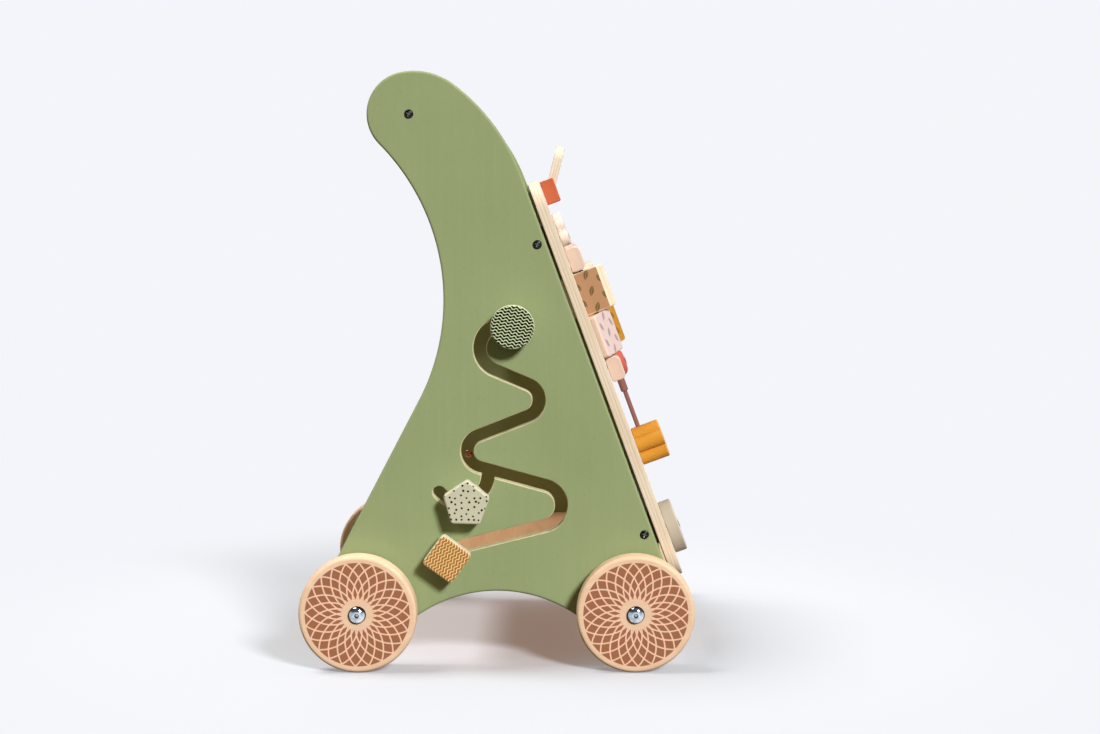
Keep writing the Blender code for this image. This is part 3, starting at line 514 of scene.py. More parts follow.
crossGrain = (0, 0, quarter)
finish("sagePaint", "sage_paint", "paint", (149, 163, 118), (232, 220, 182), 0.45, crossGrain)
finish("redPaint", "red_paint", "paint", (193, 100, 66), (232, 160, 130))
finish("hubPaint", "red_paint", "paint", (196, 98, 84), (230, 160, 142))
finish("pinkPaint", "pink_paint", "paint", (215, 189, 173), (234, 212, 196))
finish("ochrePaint", "ochre_paint", "paint", (201, 140, 49), (228, 184, 112))
finish("mauvePaint", "mauve_paint", "paint", (138, 92, 86), (190, 150, 142))
finish("beigePaint", "beige_paint", "paint", (180, 170, 154), (208, 200, 186))
finish("nylonMoulding", "nylon", "paint", (222, 220, 212), (236, 234, 228), 0.1)
finish("paleWood", "pale_wood", "wood", (243, 209, 170), (214, 168, 122), turn=(0, quarter, 0))
finish("shelfWood", "bare_wood", "wood", (221, 174, 132), (191, 138, 98), turn=crossGrain)
finish("retainerWood", "bare_wood", "wood", (222, 188, 146), (186, 142, 100))
finish("mapleWood", "pale_wood", "wood", (228, 215, 206), (208, 187, 171))
# chrome's dark accent is painted shade in rims and sockets; the bronzed screw's pale accent is a painted
# highlight
metal("chromeSteel", "chrome", (240, 248, 252), (176, 192, 204), (20, 22, 25), 0.10)
metal("bronzedSteel", "chrome", (190, 138, 100), (120, 76, 48), (206, 160, 124), 0.30)
metal("blackSteel", "black_steel", (46, 46, 48), (34, 34, 36), (150, 156, 140), 0.34)
print("plain looks:", len(looks))


# Side panels: arcs joined tangent to each other, a track of two lanes in the right one

panelShape = Sizes(
    round=0.002, innerRound=0.0003, roundSteps=6, brace=0.0010, wear=0.3, archTop=0.0657,
    backStraight=0.1835, frontStraight=0.380, headRadius=0.0355, crownRadius=0.0553,
    crownTurn=math.radians(102.4), boltBore=0.0043, steps=1100,
)
track = Sizes(
    width=0.011, ease=0.0008, easeSteps=4, brace=0.0005, wear=0.9, spare=0.0016,
    start=math.radians(67.7), end=math.radians(147.7), steps=640,
    loop=(0.0059, 0.2738, 0.0202), upper=(0.0212, 0.2295, 0.0146), middle=(-0.0111, 0.1859, 0.0142),
    lower=(0.0371, 0.1395, 0.0177), tail=(-0.0142, 0.0667, 0.0405), branch=(-0.0311, 0.1658, 0.0234),
    branchStart=math.radians(219.3), branchEnd=math.radians(362), branchSteps=120,
)


def panelOutline():
    # each arc's radius follows from being tangent to its neighbours, as in the part's own outline
    head, crownR = panelShape.headRadius, panelShape.crownRadius
    foot, lean = chassis.footRadius, chassis.frontLean
    crown = handleSpot - (crownR - head) * polar(panelShape.crownTurn)
    frontEnd = frontFoot + panelShape.frontStraight * upSlope
    toEnd = frontEnd - crown
    sweep = (toEnd @ toEnd - crownR**2) / (2 * (toEnd @ frontNormal - crownR))
    sweepCentre = frontEnd - sweep * frontNormal
    backEnd = rearFoot + panelShape.backStraight * upBack
    fromHead = backEnd - handleSpot
    hollow = (fromHead @ fromHead - head**2) / (2 * (head - fromHead @ backNormal))
    hollowCentre = backEnd + hollow * backNormal
    drop = chassis.wheelRadius - panelShape.archTop
    arch = (drop**2 + (chassis.wheelBase / 2)**2 - foot**2) / (2 * (foot - drop))
    archCentre = np.array([0, panelShape.archTop - arch])
    crownMeet, hollowMeet = heading(crown - sweepCentre), heading(handleSpot - hollowCentre)
    rearMeet, frontMeet = heading(rearAxle - archCentre), heading(frontAxle - archCentre)
    return evenly(np.vstack([
        arc(sweepCentre, sweep, lean, crownMeet),
        arc(crown, crownR, crownMeet, panelShape.crownTurn),
        arc(handleSpot, head, panelShape.crownTurn, hollowMeet + math.pi),
        arc(hollowCentre, hollow, hollowMeet, -chassis.backLean),
        arc(rearAxle, foot, math.pi - chassis.backLean, rearMeet + math.pi),
        arc(archCentre, arch, rearMeet, frontMeet, 128),
        arc(frontAxle, foot, frontMeet - math.pi, lean),
    ]), panelShape.steps)


def mainLane():
    # round one bend after another in turn, along the lines that cross from each to the next
    bends = [track[key] for key in ("loop", "upper", "middle", "lower", "tail")]
    runs, arrive, way = [], track.start, 1
    for bend, following in zip(bends, bends[1:] + [None]):
        leave = track.end
        if following:
            step = np.subtract(following[:2], bend[:2])
            leave = heading(step) - way * math.acos((bend[2] + following[2]) / np.hypot(*step))
        leave = arrive + way * ((way * (leave - arrive)) % wholeTurn)
        runs.append(arc(bend[:2], bend[2], arrive, leave))
        arrive, way = leave + math.pi, -way
    return evenly(np.vstack(runs), track.steps, closed=False)


def branchLane():
    x, z, radius = track.branch
    run = arc((x, z), radius, track.branchStart, track.branchEnd)
    return evenly(run, track.branchSteps, closed=False)


def laneOutline(path, half):
    # both sides of a lane of even width, joined by round ends
    step = np.gradient(path, axis=0)
    left = np.stack([-step[:, 1], step[:, 0]], -1) / np.linalg.norm(step, axis=1, keepdims=True)
    endTurn, startTurn = heading(-left[-1]), heading(left[0])
    return np.vstack([
        (path - half * left)[:-1], arc(path[-1], half, endTurn, endTurn + math.pi, 25)[:-1],
        (path + half * left)[:0:-1], arc(path[0], half, startTurn, startTurn + math.pi, 25)[:-1],
    ])


def outsideRun(points, loop):
    # the unbroken stretch of an outline that lies outside another
    free = ~within(points, loop)
    first = np.flatnonzero(free & ~np.roll(free, 1))[0]
    return np.roll(points, -first, 0)[:free.sum()]


def meeting(first, second):
    # where the lines through two pairs of points cross
    ways = np.stack([first[1] - first[0], second[0] - second[1]], -1)
    return first[0] + np.linalg.solve(ways, second[0] - first[0])[0] * ways[:, 0]


def trackOutline():
    # both lanes as one slot, each outline kept where it lies outside the other
    half = track.width / 2
    paths = (mainLane(), branchLane())
    main, side = (laneOutline(path, half) for path in paths)
    mainGrown, sideGrown = (laneOutline(path, half + track.spare) for path in paths)
    run, sideRun = outsideRun(main, sideGrown), outsideRun(side, mainGrown)
    return np.vstack([run, meeting(run[-2:], sideRun[1::-1]), sideRun, meeting(sideRun[-2:], run[1::-1])])


def sidePanels():
    half = chassis.panelThick / 2
    outer, inner = (easedProfile(-half, half, panelShape[key], panelShape.roundSteps, panelShape.brace)
                    for key in ("round", "innerRound"))
    profile = np.vstack([outer[:len(outer) // 2], inner[len(inner) // 2:]])
    profile[:, 2] *= panelShape.wear
    slotProfile = easedProfile(-half, half, track.ease, track.easeSteps, track.brace)
    slotProfile[2:-2, 2] = track.wear
    for side, hand in hands:
        flip = np.array([1, -side])
        outline = panelOutline() * flip
        holes = [axle * flip + polar(around(48), panelShape.boltBore) for axle in (rearAxle, frontAxle)]
        if hand == "right":
            holes.append(trackOutline())
        sheetPiece(f"{hand}_side_panel", outline[::-side], holes, profile, slotProfile,
                   facingOut(side, 0, 0, panelOuter - half), "sagePaint")


sidePanels()
print("side panels and track done")


# Handle, battens, shelf and screws

woodwork = Sizes(
    handleRadius=0.013, round=0.0015, railThick=0.019, railHeight=0.028, upperDown=0.0508,
    lowerDown=0.3137, shelfTop=0.0895, shelfThick=0.010, shelfRear=-0.046, shelfFront=0.092,
    notchLength=0.022, notchDepth=0.009,
)
screw = Sizes(
    radius=0.002, length=0.030, head=0.0038, rise=0.0016, depth=0.0011, taper=0.55,
    arm=0.0021, wing=0.00048, turn=0.4,
)
# the inner screw's rim and recess are marked: the bronze paints them pale, as a painted highlight
innerScrew = Sizes({
    **screw, "length": 0.006, "head": 0.0043, "rise": 0.0020, "turn": 0.0, "rimMarked": True,
    "spot": (-0.0361, 0.1479),
})


# painted shade: dark corners painted where the board's back meets the panels and where the battens' upper
# sides meet the board
paintedShade = Sizes(
    tint=(24, 20, 12), strength=0.92, panelStart=0.014, panelEnd=0.024, battenEdge=0.0012,
    battenSoft=0.0008, battenReach=(-0.006, 0.004),
)


def battenPaintedShade(place, colour):
    # the batten's upper side is painted darker next to the board, as painted shade in that corner
    x, y, z = axes(place)
    upper = (x * -1).above(woodwork.railHeight / 2 - paintedShade.battenEdge, paintedShade.battenSoft)
    return mixed(upper * z.ramp(*paintedShade.battenReach) * paintedShade.strength, colour, tone(*paintedShade.tint))


# the battens' wood, with painted shade on their upper sides next to the board
finish("railWood", "bare_wood", "wood", (228, 190, 150), (190, 140, 98), turn=crossGrain, marks=battenPaintedShade)


def frameWood():
    half, edge = span / 2, woodwork.round
    turnedPiece("handle_bar", turnedProfile(woodwork.handleRadius, -half, half, edge), 128,
                facingOut(-1, *handleSpot, 0), "paleWood")
    spots = {"handle": handleSpot}
    tall, deep = woodwork.railHeight / 2, woodwork.railThick / 2
    for use in ("upper", "lower"):
        centre = onBoard(woodwork[f"{use}Down"], 0, -(board.thick + fits.seat + deep))
        outline = roundedBox(-tall, -half, tall, half, edge, 400)
        platePiece(f"{use}_batten", outline, -deep, deep, edge, centre, "railWood")
        spots[f"{use}_batten"] = centre[[0, 2], 3]
    # the shelf's corner beside the track is left open for the square knob's retainer
    rear, front, inner = woodwork.shelfRear, woodwork.shelfFront, woodwork.notchDepth - half
    step = rear + woodwork.notchLength
    corners = [(front, half), (rear, half), (rear, inner), (step, inner), (step, -half), (front, -half)]
    outline = roundedPolygon(corners, (edge, edge, edge, 0, edge, edge), 720)
    platePiece("bottom_shelf", outline, woodwork.shelfTop - woodwork.shelfThick, woodwork.shelfTop,
               edge, moved(0, 0, 0), "shelfWood")
    return spots


def recessReach(angle, shape):
    # along each ray: a hexagon's side, or a plus sign's arm end or the side of its neighbour
    if "socket" in shape:
        return shape.socket * math.cos(math.pi / 6) / np.cos(angle % (np.pi / 3) - np.pi / 6)
    near = (angle + shape.turn + np.pi / 4) % quarter - np.pi / 4
    return np.minimum(shape.arm / np.cos(near), shape.wing / np.maximum(np.abs(np.sin(near)), 1e-6))


def recessedPin(node, shape, length, placement, look, sides=144):
    # a domed head with a recess in its top, over a plain shank; the recess and some rims are marked for the
    # metal's accent colour: painted shade on chrome, a painted highlight on bronze
    angle, head, depth = around(sides), shape.head, shape.depth
    edge = recessReach(angle, shape)
    rim, lip = edge * 1.06, 0.00006

    def dome(radius):
        return radius, shape.rise * np.sqrt(np.maximum(1 - (radius / head)**2, 0))

    floor = np.full(sides, dome(edge.min())[1] - depth)
    rows = [(edge * shape.taper, floor), (edge * (shape.taper + 1) / 2, floor + depth * 0.5)]
    rows += [(edge, dome(edge)[1] - lip), dome(rim)]
    rows += [dome(rim + (head - rim) * part) for part in np.sin(np.linspace(0.15, 1, 9) * quarter)]
    shank = np.full(sides, shape.radius)
    rows += [(shank, shank * 0), (shank, shank * 0 - length)]
    rings = np.stack([np.concatenate([polar(angle, r), z[:, None]], -1) for r, z in rows])
    marks = np.zeros(len(rows))
    # the recess, and with rimMarked the rim, take the accent colour's painted shade or highlight
    marks[:2] = 1.0
    if "rimMarked" in shape:
        marks[-6:] = 1.0
    stackPiece(node, rings, marks, placement, look, sharp=40)


screwSpots = frameWood()
for side, hand in hands:
    for use, spot in screwSpots.items():
        recessedPin(f"{hand}_{use}_screw", screw, screw.length,
                    facingOut(side, *spot, panelOuter + fits.seat), "blackSteel")
# one more screw head on the left panel's inner face, seen through the track's middle bend
recessedPin("inner_screw", innerScrew, innerScrew.length,
            facingOut(-1, *innerScrew.spot, -chassis.innerHalf), "bronzedSteel")
print("handle, battens, shelf and screws done")


# Wheels, washers and bolts

wheel = Sizes(
    thick=0.018, round=0.003, bore=0.0044, phases={"rear": -2.5, "front": 3.0},
    washer=0.009, washerThick=0.003, washerRound=0.0004, washerBore=0.0043,
)
# the bolt's socket and rim are marked: the chrome paints them dark, as painted shade in the socket and in the
# gap under the head
bolt = Sizes(
    radius=0.004, head=0.0075, rise=0.0045, socket=0.0022, depth=0.0024, taper=0.98, rimMarked=True,
)
rosette = Sizes(
    inner=0.0134, outer=0.0443, arms=24, line=0.00064, soft=0.00022, swing=7.378,
    bend=1.346, merge=0.0007, relief=0.00008, grit=0.00035, ringSoft=0.0002, strokeShare=0.75,
    faceDrop=0.0002, faceSoft=0.0001,
    cell=(157, 103, 73), stroke=(248, 200, 174), pale=(243, 211, 181), dark=(222, 180, 144),
)
wheelInner = panelOuter + wheel.washerThick + 2 * fits.seat
wheelOuter = wheelInner + wheel.thick


def wornInk(place, scale, loss):
    return 1 - noise(place, scale, detail=2).ramp(0.62, 0.85) * loss


def rosettePrint(phase):
    # two families of arms swing round opposite ways; the cells between them are inked
    step, soft = wholeTurn / rosette.arms, rosette.ringSoft

    def draw(place, colour):
        x, y, z = axes(place)
        radius = (x * x + y * y).work("SQRT")
        angle = y.work("ARCTAN2", x)
        part = 1 - radius / rosette.outer
        swing = (part * rosette.swing - part * part * rosette.bend) * (step / 2)
        slope = (1 - part) * (rosette.swing - part * (2 * rosette.bend)) * (step / 2)
        lean = (slope * slope + 1).work("SQRT")
        arms = [(angle + swing * way - phase).fromMiddle(step).size() * radius / lean for way in (1, -1)]
        grit = (noise(place, 900, detail=2) - 0.5) * rosette.grit
        nearest = arms[0].work("SMOOTH_MIN", arms[1], rosette.merge)
        cell = (nearest + grit).above(rosette.line, rosette.soft)
        edge = radius + grit
        ring = edge.above(rosette.inner, soft) * edge.below(rosette.outer, soft)
        ring = ring * z.above(wheel.thick - rosette.faceDrop, rosette.faceSoft)
        colour = mixed(ring * rosette.strokeShare, colour, tone(*rosette.stroke))
        return mixed(ring * cell * wornInk(place, 1100, 0.35), colour, tone(*rosette.cell))

    return draw


def runningGear():
    boltEnd = wheelOuter + fits.seat
    for end, axle in (("rear", rearAxle), ("front", frontAxle)):
        marks = rosettePrint(math.radians(wheel.phases[end]))
        finish(f"{end}WheelPrint", "pale_wood", "wood", rosette.pale, rosette.dark, relief=rosette.relief,
               marks=marks)
        for side, hand in hands:
            name = f"{hand}_{end}"
            boredDisc(f"{name}_wheel", chassis.wheelRadius, wheel.thick, wheel.round, wheel.bore,
                      facingOut(side, *axle, wheelInner), f"{end}WheelPrint", 192, 7)
            boredDisc(f"{name}_washer", wheel.washer, wheel.washerThick, wheel.washerRound, wheel.washerBore,
                      facingOut(side, *axle, panelOuter + fits.seat), "nylonMoulding", 96, 3)
            recessedPin(f"{name}_axle_bolt", bolt, boltEnd - chassis.innerHalf,
                        facingOut(side, *axle, boltEnd), "chromeSteel")


runningGear()
print("wheels done")


# Knobs that slide in the track

knob = Sizes(
    thick=0.012, standoff=0.0045, round=0.0015, dowel=0.0048, collarRound=0.0004, retainer=0.009,
    retainerThick=0.005, paintDrop=0.00085, paintSoft=0.00025, printDrop=0.00055, printSoft=0.00015,
)
knobTop = knob.standoff + knob.thick
dash = Sizes(
    pitch=0.00278, wave=0.00556, swing=0.00078, stroke=0.00098, gap=0.00005, soft=0.00012, gapSoft=0.0001,
)
dots = Sizes(scale=195.0, uneven=0.62, size=0.155, spread=0.05, soft=0.03)


def waveDashes(place, across, up):
    # rows that swing from side to side, each half swing a dash of its own
    wave = (across * (wholeTurn / dash.wave)).work("SINE") * dash.swing
    row = (up + wave).fromMiddle(dash.pitch).size().below(dash.stroke, dash.soft)
    return row * across.fromMiddle(dash.wave / 2).size().above(dash.gap, dash.gapSoft)


def looseDots(place, across, up):
    # one dot in each uneven cell, its size drawn from the cell
    values = {"Vector": place, "Scale": dots.scale, "Randomness": dots.uneven}
    cells = put(place.id_data, "ShaderNodeTexVoronoi", values, voronoi_dimensions="2D").outputs
    size = axes(cells["Color"])[0] * dots.spread + dots.size
    return (Field(cells["Distance"]) - size).below(0.0, dots.soft)


def knobFinish(name, slot, paint, edge, ink, motif, strength=1.0, turn=0.0):
    # a knob with paler sides, whose flat front is painted and carries a printed motif
    def front(place):
        face = axes(place)[2].above(knobTop - knob.paintDrop, knob.paintSoft)
        return mixed(face, tone(*edge), tone(*paint))

    def draw(place, colour):
        across, up, out = axes(remapped(place, Rotation=(0, 0, math.radians(turn))))
        mask = motif(place, across, up) * out.above(knobTop - knob.printDrop, knob.printSoft)
        return mixed(mask * wornInk(place, 1400, 0.25) * strength, colour, tone(*ink))

    finish(name, slot, "paint", front, edge, 0.3, relief=0.00006, marks=draw)


knobFinish("roundKnobPrint", "pale_green_paint", (219, 234, 190), (216, 227, 192), (8, 16, 0), waveDashes,
           turn=18)
knobFinish("pentagonKnobPrint", "cream_paint", (204, 203, 178), (214, 210, 188), (36, 32, 16), looseDots)
knobFinish("squareKnobPrint", "ochre_paint", (252, 222, 158), (222, 212, 186), (160, 98, 28), waveDashes,
           0.92, -52)
# each knob's bend, its angle there at rest, its collar's radius and its outline
knobs = {
    "round": ("loop", track.start, 0.011, polar(around(240), 0.0185)),
    "pentagon": ("branch", math.radians(283.6), 0.0165,
                 roundedPolygon(polar(math.radians(16) + around(5), 0.0207), 0.003)),
    "square": ("tail", math.radians(133.3), 0.011,
               roundedPolygon(polar(math.radians(9) + around(4), 0.0305 / math.sqrt(2)), 0.0035)),
}


def slidingKnobs():
    # plate, collar and dowel are one stack: rings of the outline, then circles at the same angles
    seat, dowel, ease = fits.seat, knob.dowel, knob.collarRound
    end = -(chassis.panelThick + seat + knob.retainerThick)
    profile = easedProfile(knob.standoff, knobTop, knob.round)
    for name, (bend, rest, collar, outline) in knobs.items():
        x, z, radius = track[bend]
        spot = np.array([x, z]) + polar(rest, radius)
        rings = outlineRings(outline, profile)
        ray = rings[-1, :, :2] / np.linalg.norm(rings[-1, :, :2], axis=1, keepdims=True)
        stem = np.array([(collar, knob.standoff), (collar, seat + ease), (collar - ease, seat), (dowel, seat),
                         (dowel, end)])
        rings = np.concatenate([rings, lifted(stem[:, 0, None, None] * ray, stem[:, 1])])
        wear = np.concatenate([profile[:, 2], np.zeros(len(stem))])
        stackPiece(f"{name}_knob", rings, wear, facingOut(-1, *spot, panelOuter), f"{name}KnobPrint")
        boredDisc(f"{name}_knob_retainer", knob.retainer, knob.retainerThick, knob.round, dowel + seat,
                  facingOut(-1, *spot, chassis.innerHalf - seat - knob.retainerThick), "retainerWood", 96)


slidingKnobs()
print("knobs done")


# Activity board with its tile windows, and the flap above it

tile = Sizes(
    size=0.038, width=0.041, thick=0.010, corner=0.003, edge=0.0012, gap=0.0012,
    margin=0.0025, axle=0.002, axleHeight=0.0076, columnDown=0.0637, bracketLength=0.0215,
    bracketWidth=0.022, bracketHeight=0.0128, bracketCorner=0.005, bracketFoot=0.0019,
    tilts={"right": (56, 21), "middle": (-12, 46), "left": (-28, 12)},
    paints={"right": ("brown", "lavender"), "middle": ("mint", "ochre"), "left": ("lavender", "brown")},
)
flap = Sizes(
    length=0.046, width=board.columnPitch, thick=0.008, corner=0.012, round=0.0008,
    heel=0.0022, tilt=math.radians(34), down=0.0114, height=0.0065, axle=0.002,
    bracket=(0.0218, 0.012, 0.013), gap=0.0006, blind=0.002,
)
plies = Sizes(count=7, tint=(212, 180, 142), strength=0.40, waver=0.0006, drop=0.0003, soft=0.0002)
columns = {"right": -board.columnPitch, "middle": 0.0, "left": board.columnPitch}
windowStart = tile.columnDown + tile.bracketLength
firstTile = windowStart + tile.gap + tile.size / 2
tileEnd = firstTile + 1.5 * tile.size + 2 * tile.gap


def plyBandsAndPaintedShade(thick, shadeWidth=None):
    # the plies show as bands across the thickness; given a width, the back is also painted darker near both
    # sides, as painted shade where the board meets the panels
    ply, deep = thick / plies.count, thick / 2

    def draw(place, colour):
        x, y, z = axes(place)
        waver = (noise(place, 60, detail=2) - 0.5) * plies.waver
        layer = (z + waver).fromMiddle(2 * ply).size().ramp(0.35 * ply, 0.6 * ply)
        side = z.size().below(deep - plies.drop, plies.soft)
        colour = mixed(layer * side * plies.strength, colour, tone(*plies.tint))
        # painted shade: the back face darkens toward the panels
        if shadeWidth:
            nearPanel = y.size().ramp(shadeWidth / 2 - paintedShade.panelEnd, shadeWidth / 2 - paintedShade.panelStart)
            back = (z * -1).above(deep - plies.soft, plies.soft)
            colour = mixed(back * nearPanel * paintedShade.strength, colour, tone(*paintedShade.tint))
        return colour

    return draw


# the board's ply, with painted shade on its back near the panels
finish("birchPly", "birch_plywood", "wood", (240, 229, 210), (214, 190, 158),
       marks=plyBandsAndPaintedShade(board.thick, board.width))
finish("flapPly", "birch_plywood", "wood", (240, 233, 217), (218, 198, 170), marks=plyBandsAndPaintedShade(flap.thick))


def activityBoard():
    half, deep = board.width / 2, board.thick / 2
    outline = roundedBox(0, -half, board.length, half, board.corner, 640)
    reach = math.hypot(tile.width, tile.thick) / 2 + tile.margin
    windows = [roundedBox(windowStart, y - reach, tileEnd, y + reach, board.windowCorner, 200)
               for y in columns.values()]
    profile = easedProfile(-deep - board.spare, deep, board.edge)
    sheetPiece("activity_board", outline, windows, profile, profile, onBoard(0, 0, -deep), "birchPly")


def peekabooFlap():
    across = board.columnPitch / 2
    axle = onBoard(flap.down, across, flap.height)
    half, heel = flap.width / 2, flap.thick / 2
    radii = (flap.heel, flap.corner, flap.corner, flap.heel)
    outline = roundedBox(heel - flap.length, -half, heel, half, radii, 400)
    platePiece("peekaboo_flap", outline, -heel, heel, flap.round, axle @ turned("Y", flap.tilt), "flapPly")
    length, width, height = flap.bracket
    thinRod("flap_axle", flap.axle, half + flap.gap + width - flap.blind, axle @ turned("X", quarter),
            "blackSteel")
    outline = roundedBox(-length / 2, -width / 2, length / 2, width / 2, flap.round, 200)
    for side, hand in hands:
        middle = onBoard(flap.down, across + side * (half + flap.gap + width / 2), fits.seat)
        platePiece(f"{hand}_flap_bracket", outline, 0, height, flap.round, middle, "redPaint")


activityBoard()
peekabooFlap()
print("board and flap done")


# Flip tiles in three columns

leaf = Sizes(
    stepX=0.0150, stepY=0.0126, half=0.0050, width=0.0023, rib=0.00014, line=0.0038, lineShade=0.35,
    cosine=0.82, sine=0.57, ink=0.9, faceDrop=0.0002, sideDrop=0.0009, soft=0.0001,
)


def leafFinish(name, slot, paint, edge, ink, field=0.03):
    # staggered pointed ovals with a rib each; beyond half the field's width a pale margin may stay bare
    deep = tile.thick / 2

    def draw(place, colour):
        x, y, z = axes(place)
        across, depth = y.size(), z.size()
        odd = ((y / leaf.stepY + 0.5).work("FLOOR") * 0.5).work("FRACT") * 2
        u = (x + odd * (leaf.stepX / 2)).fromMiddle(leaf.stepX)
        v = y.fromMiddle(leaf.stepY)
        way = odd * 2 - 1
        a = u * leaf.cosine + v * way * leaf.sine
        b = (v * leaf.cosine - u * way * leaf.sine).size()
        bow = (1 - a * a / leaf.half**2) * leaf.width
        blade = (b - bow).below(0.0, 0.00018) * b.ramp(leaf.rib - 0.0001, leaf.rib + 0.00015)
        face, middle = depth.above(deep - leaf.faceDrop, leaf.soft), across.below(field, leaf.soft)
        colour = mixed(blade * face * middle * leaf.ink, colour, tone(*ink))
        side = depth.below(deep - leaf.sideDrop, 2 * leaf.soft)
        groove = (across - (field + leaf.line)).size().below(3 * leaf.soft, 2 * leaf.soft) * face
        line = depth.below(4 * leaf.soft, 2 * leaf.soft).work("MAXIMUM", groove)
        bare = side.work("MAXIMUM", 1 - middle) * (1 - line * leaf.lineShade)
        return mixed(bare, colour, tone(*edge))

    finish(name, slot, "paint", paint, edge, marks=draw)


leafFinish("brownTilePaint", "brown_paint", (172, 129, 94), (238, 220, 192), (98, 80, 44), 0.0128)
leafFinish("lavenderTilePaint", "lavender_paint", (228, 204, 198), (238, 212, 194), (158, 134, 150))
leafFinish("mintTilePaint", "pale_green_paint", (200, 211, 170), (241, 226, 198), (120, 140, 92))
leafFinish("ochreTilePaint", "ochre_paint", (186, 134, 50), (232, 206, 160), (128, 88, 28))


def tileColumns():
    half, wide = tile.bracketLength / 2, tile.bracketWidth / 2
    size, width, deep = tile.size / 2, tile.width / 2, tile.thick / 2
    corner, foot = tile.bracketCorner, tile.bracketFoot
    block = roundedBox(-half, 0, half, tile.bracketHeight, (corner, corner, foot, foot), 320)
    plan = roundedBox(-size, -width, size, width, tile.corner, 320)
    ends = {"upper": tile.columnDown + half, "lower": tileEnd + half}
    middle, reach = (ends["upper"] + ends["lower"]) / 2, (ends["lower"] - ends["upper"] + half) / 2
    for hand, across in columns.items():
        for level, down in ends.items():
            platePiece(f"{hand}_{level}_tile_bracket", block, -wide, wide, tile.edge,
                       onBoard(down, across, fits.seat) @ turned("X", quarter), "pinkPaint")
        thinRod(f"{hand}_tile_axle", tile.axle, reach,
                onBoard(middle, across, tile.axleHeight) @ turned("Y", quarter), "blackSteel")
        for row, level in enumerate(ends):
            place = onBoard(firstTile + row * (tile.size + tile.gap), across, tile.axleHeight)
            tilt = turned("X", math.radians(tile.tilts[hand][row]))
            platePiece(f"{hand}_{level}_tile", plan, -deep, deep, tile.edge, place @ tilt,
                       f"{tile.paints[hand][row]}TilePaint")


tileColumns()
print("flip tiles done")


# Discs on pins and the pendulum

pin = Sizes(radius=0.0025, head=0.005, rise=0.0004, bite=0.008, socket=0.0014, depth=0.0002, taper=0.9)
discs = Sizes(
    lift=0.0002, round=0.0015, lobes=(8, 0.0165, 0.0070), lobedDown=0.0547, lobedThick=0.0082,
    bottomDown=0.3257, bottomRadius=0.0235, bottomThick=0.0112, bottomInset=0.058,
)
swing = Sizes(
    down=0.1767, reach=0.0779, hub=0.0125, hubHeight=0.017, hubRound=0.35, rod=0.002,
    rodHeight=0.0077, bite=0.005, ferrule=0.0034, ferruleLength=0.013, ferruleRound=0.0006,
    bobSpread=0.0108, bobLobe=0.0072, bobThick=0.0257,
)
pinBore = pin.radius + fits.run


def spinnerPin(node, down, across, height, look):
    # a low plug in the piece's own colour stands for the pin's head
    recessedPin(node, pin, pin.bite + height, onBoard(down, across, height), look, 96)


def spinningDiscs():
    lift, down, across = discs.lift, discs.lobedDown, -board.columnPitch / 2
    platePiece("lobed_disc", petals(*discs.lobes), 0, discs.lobedThick, discs.round,
               onBoard(down, across, lift), "mapleWood")
    spinnerPin("lobed_disc_pin", down, across, lift + discs.lobedThick + fits.run, "mapleWood")
    down, across = discs.bottomDown, discs.bottomInset - board.width / 2
    boredDisc("bottom_disc", discs.bottomRadius, discs.bottomThick, discs.round, pinBore,
              onBoard(down, across, lift), "beigePaint")
    spinnerPin("bottom_disc_pin", down, across, lift + discs.bottomThick + fits.run, "beigePaint")


def pendulum():
    down, across, seat = swing.down, -board.columnPitch / 2, fits.seat
    hub, tall = swing.hub, swing.hubHeight
    bulge = tall * swing.hubRound
    a = np.linspace(0, quarter, 8)
    crown = np.stack([hub - bulge + bulge * np.sin(a), tall - bulge + bulge * np.cos(a), a * 0], -1)
    under = np.stack([hub - bulge / 2 * (1 - np.cos(a)), bulge / 2 * (1 - np.sin(a)), a * 0], -1)
    profile = np.vstack([[[pinBore, tall, 0]], crown, under, [[pinBore, 0, 0]]])
    turnedPiece("pendulum_hub", profile, 96, onBoard(down, across, seat), "hubPaint", bored=True)
    rod, ferrule, lip = swing.rod, swing.ferrule, swing.ferruleRound
    start, end = hub - swing.bite, swing.reach - swing.bobSpread - swing.bobLobe + swing.bite
    low, high = hub + seat, hub + seat + swing.ferruleLength
    rows = np.array([(rod, end, 0), (rod, high, 0), (ferrule - lip, high, 0), (ferrule, high - lip, 0),
                     (ferrule, low + lip, 0), (ferrule - lip, low, 0), (rod, low, 0), (rod, start, 0)])
    place = onBoard(down, across, swing.rodHeight) @ turned("Y", quarter)
    turnedPiece("pendulum_rod", rows, 48, place, "mauvePaint")
    platePiece("pendulum_bob", petals(5, swing.bobSpread, swing.bobLobe), 0, swing.bobThick,
               discs.round, onBoard(down + swing.reach, across, seat), "ochrePaint")
    spinnerPin("pendulum_pivot_screw", down, across, seat + tall + fits.run, "hubPaint")


spinningDiscs()
pendulum()
print("discs and pendulum done")


# Floor, light and camera

stage = Sizes(
    reach=6.0, cells=8, drop=0.0002, floor=(200, 204, 212), bounce=(66, 55, 38),
    backdrop=(244, 245, 250), ceiling=(70, 74, 80), underGlow=(232, 196, 176), underReach=(0.10, 0.24),
    veil=0.30, fadeReach=(0.27, 0.62), ambient=(0.14, 0.098, 0.028), backGlow=(0.80, 0.79, 0.77),
    suns={
        "key": {"from": (0.45, -0.72, 0.53), "strength": 3.72, "angle": 12, "tint": (1.0, 0.995, 0.985)},
        "top": {"from": (-0.42, 0.05, 0.90), "strength": 2.5, "angle": 24, "tint": (1.0, 0.985, 0.96)},
    },
)


def seenRays(tree):
    # 1 for rays that show a surface in the picture, a reflection or through glass; 0 for light that bounces
    path = put(tree, "ShaderNodeLightPath").outputs
    seen = Field(path["Is Camera Ray"]).work("MAXIMUM", Field(path["Is Glossy Ray"]))
    return seen.work("MAXIMUM", Field(path["Is Transmission Ray"]))


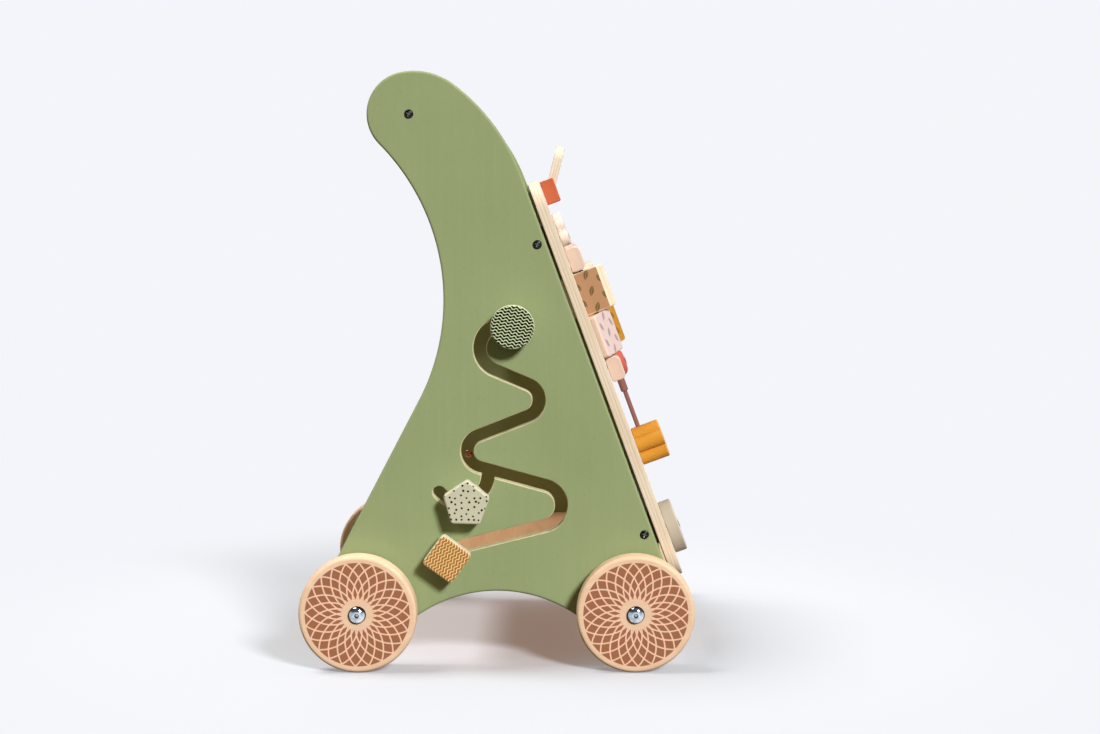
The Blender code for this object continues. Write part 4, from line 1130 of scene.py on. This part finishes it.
def paleFloor():
    # a matt sheet that takes the shadows near the walker and fades into the backdrop farther out; under the
    # walker its glow is a painted warm light
    material = bpy.data.materials.new("paleFloor")
    material.use_nodes = True
    tree, shader = material.node_tree, material.node_tree.nodes["Principled BSDF"]
    place = put(tree, "ShaderNodeTexCoord").outputs["Object"]
    seen = seenRays(tree)
    shader.inputs["Specular IOR Level"].default_value = 0.0
    tree.links.new(mixed(seen, tone(*stage.bounce), tone(*stage.floor)), shader.inputs["Base Color"])
    tree.links.new((0.9 + (noise(place, 8) - 0.5) * 0.1).socket, shader.inputs["Roughness"])
    x, y, z = axes(place)
    fade = (x * x + y * y).work("SQRT").ramp(*stage.fadeReach)
    far = fade * (1 - stage.veil) + stage.veil
    # painted warm light: under the walker the floor's seen glow turns warm, standing in for bounce light from
    # the wood in its shadow
    under = 1 - (x * x + y * y * 1.2).work("SQRT").ramp(*stage.underReach)
    glow = mixed(under, tone(*stage.backdrop), tone(*stage.underGlow))
    sheet = put(tree, "ShaderNodeEmission", {"Color": glow, "Strength": 1.0})
    mix = put(tree, "ShaderNodeMixShader", {0: far * seen, 1: shader.outputs[0], 2: sheet.outputs[0]})
    tree.links.new(mix.outputs[0], tree.nodes["Material Output"].inputs["Surface"])
    return material


def layFloor():
    count = stage.cells + 1
    line = np.linspace(-stage.reach, stage.reach, count)
    x, y = np.meshgrid(line, line)
    i, j = np.meshgrid(np.arange(count - 1), np.arange(count - 1), indexing="ij")
    first = (i * count + j).ravel()
    quads = np.stack([first, first + 1, first + count + 1, first + count], -1)
    mesh = bpy.data.meshes.new("floor")
    mesh.from_pydata(np.stack([x, y, 0 * x - stage.drop], -1).reshape(-1, 3), [], quads.tolist())
    mesh.materials.append(paleFloor())
    floor = linked("floor", mesh)


def lightStage():
    # bounced light is dim and warm on the camera's side and brighter behind; reflections show a dim ceiling
    world = bpy.data.worlds.new("studio")
    scene.world = world
    world.use_nodes = True
    tree = world.node_tree
    back, up = axes(put(tree, "ShaderNodeTexCoord").outputs["Generated"])[1:]
    glow = mixed(back.ramp(0.0, 0.8), (*stage.ambient, 1), (*stage.backGlow, 1))
    lamp = tree.nodes["Background"]
    tree.links.new(glow, lamp.inputs["Color"])
    mirrored = Field(put(tree, "ShaderNodeLightPath").outputs["Is Glossy Ray"])
    surround = mixed(mirrored * up.ramp(0.05, 0.45), tone(*stage.backdrop), tone(*stage.ceiling))
    sheet = put(tree, "ShaderNodeBackground", {"Color": surround, "Strength": 1.0})
    mix = put(tree, "ShaderNodeMixShader", {0: seenRays(tree), 1: lamp.outputs[0], 2: sheet.outputs[0]})
    tree.links.new(mix.outputs[0], tree.nodes["World Output"].inputs["Surface"])

    for name, sun in stage.suns.items():
        light = bpy.data.lights.new(name, "SUN")
        light.energy, light.angle, light.color = sun["strength"], math.radians(sun["angle"]), sun["tint"]
        x, y, z = sun["from"]
        linked(name, light).rotation_euler = (math.atan2(math.hypot(x, y), z), 0, math.atan2(x, -y))


view = Sizes(place=(0.0451, -1.656, 0.3888), pitch=4.93, lens=58.957, sensor=36.0)


def placeCamera():
    data = bpy.data.cameras.new("camera")
    data.lens, data.sensor_width = view.lens, view.sensor
    camera = linked("camera", data)
    camera.location = view.place
    camera.rotation_euler = (math.radians(90 - view.pitch), 0, 0)
    scene.camera = camera
    scene.view_settings.view_transform = "Standard"


layFloor()
lightStage()
placeCamera()
print("stage, light and camera done")
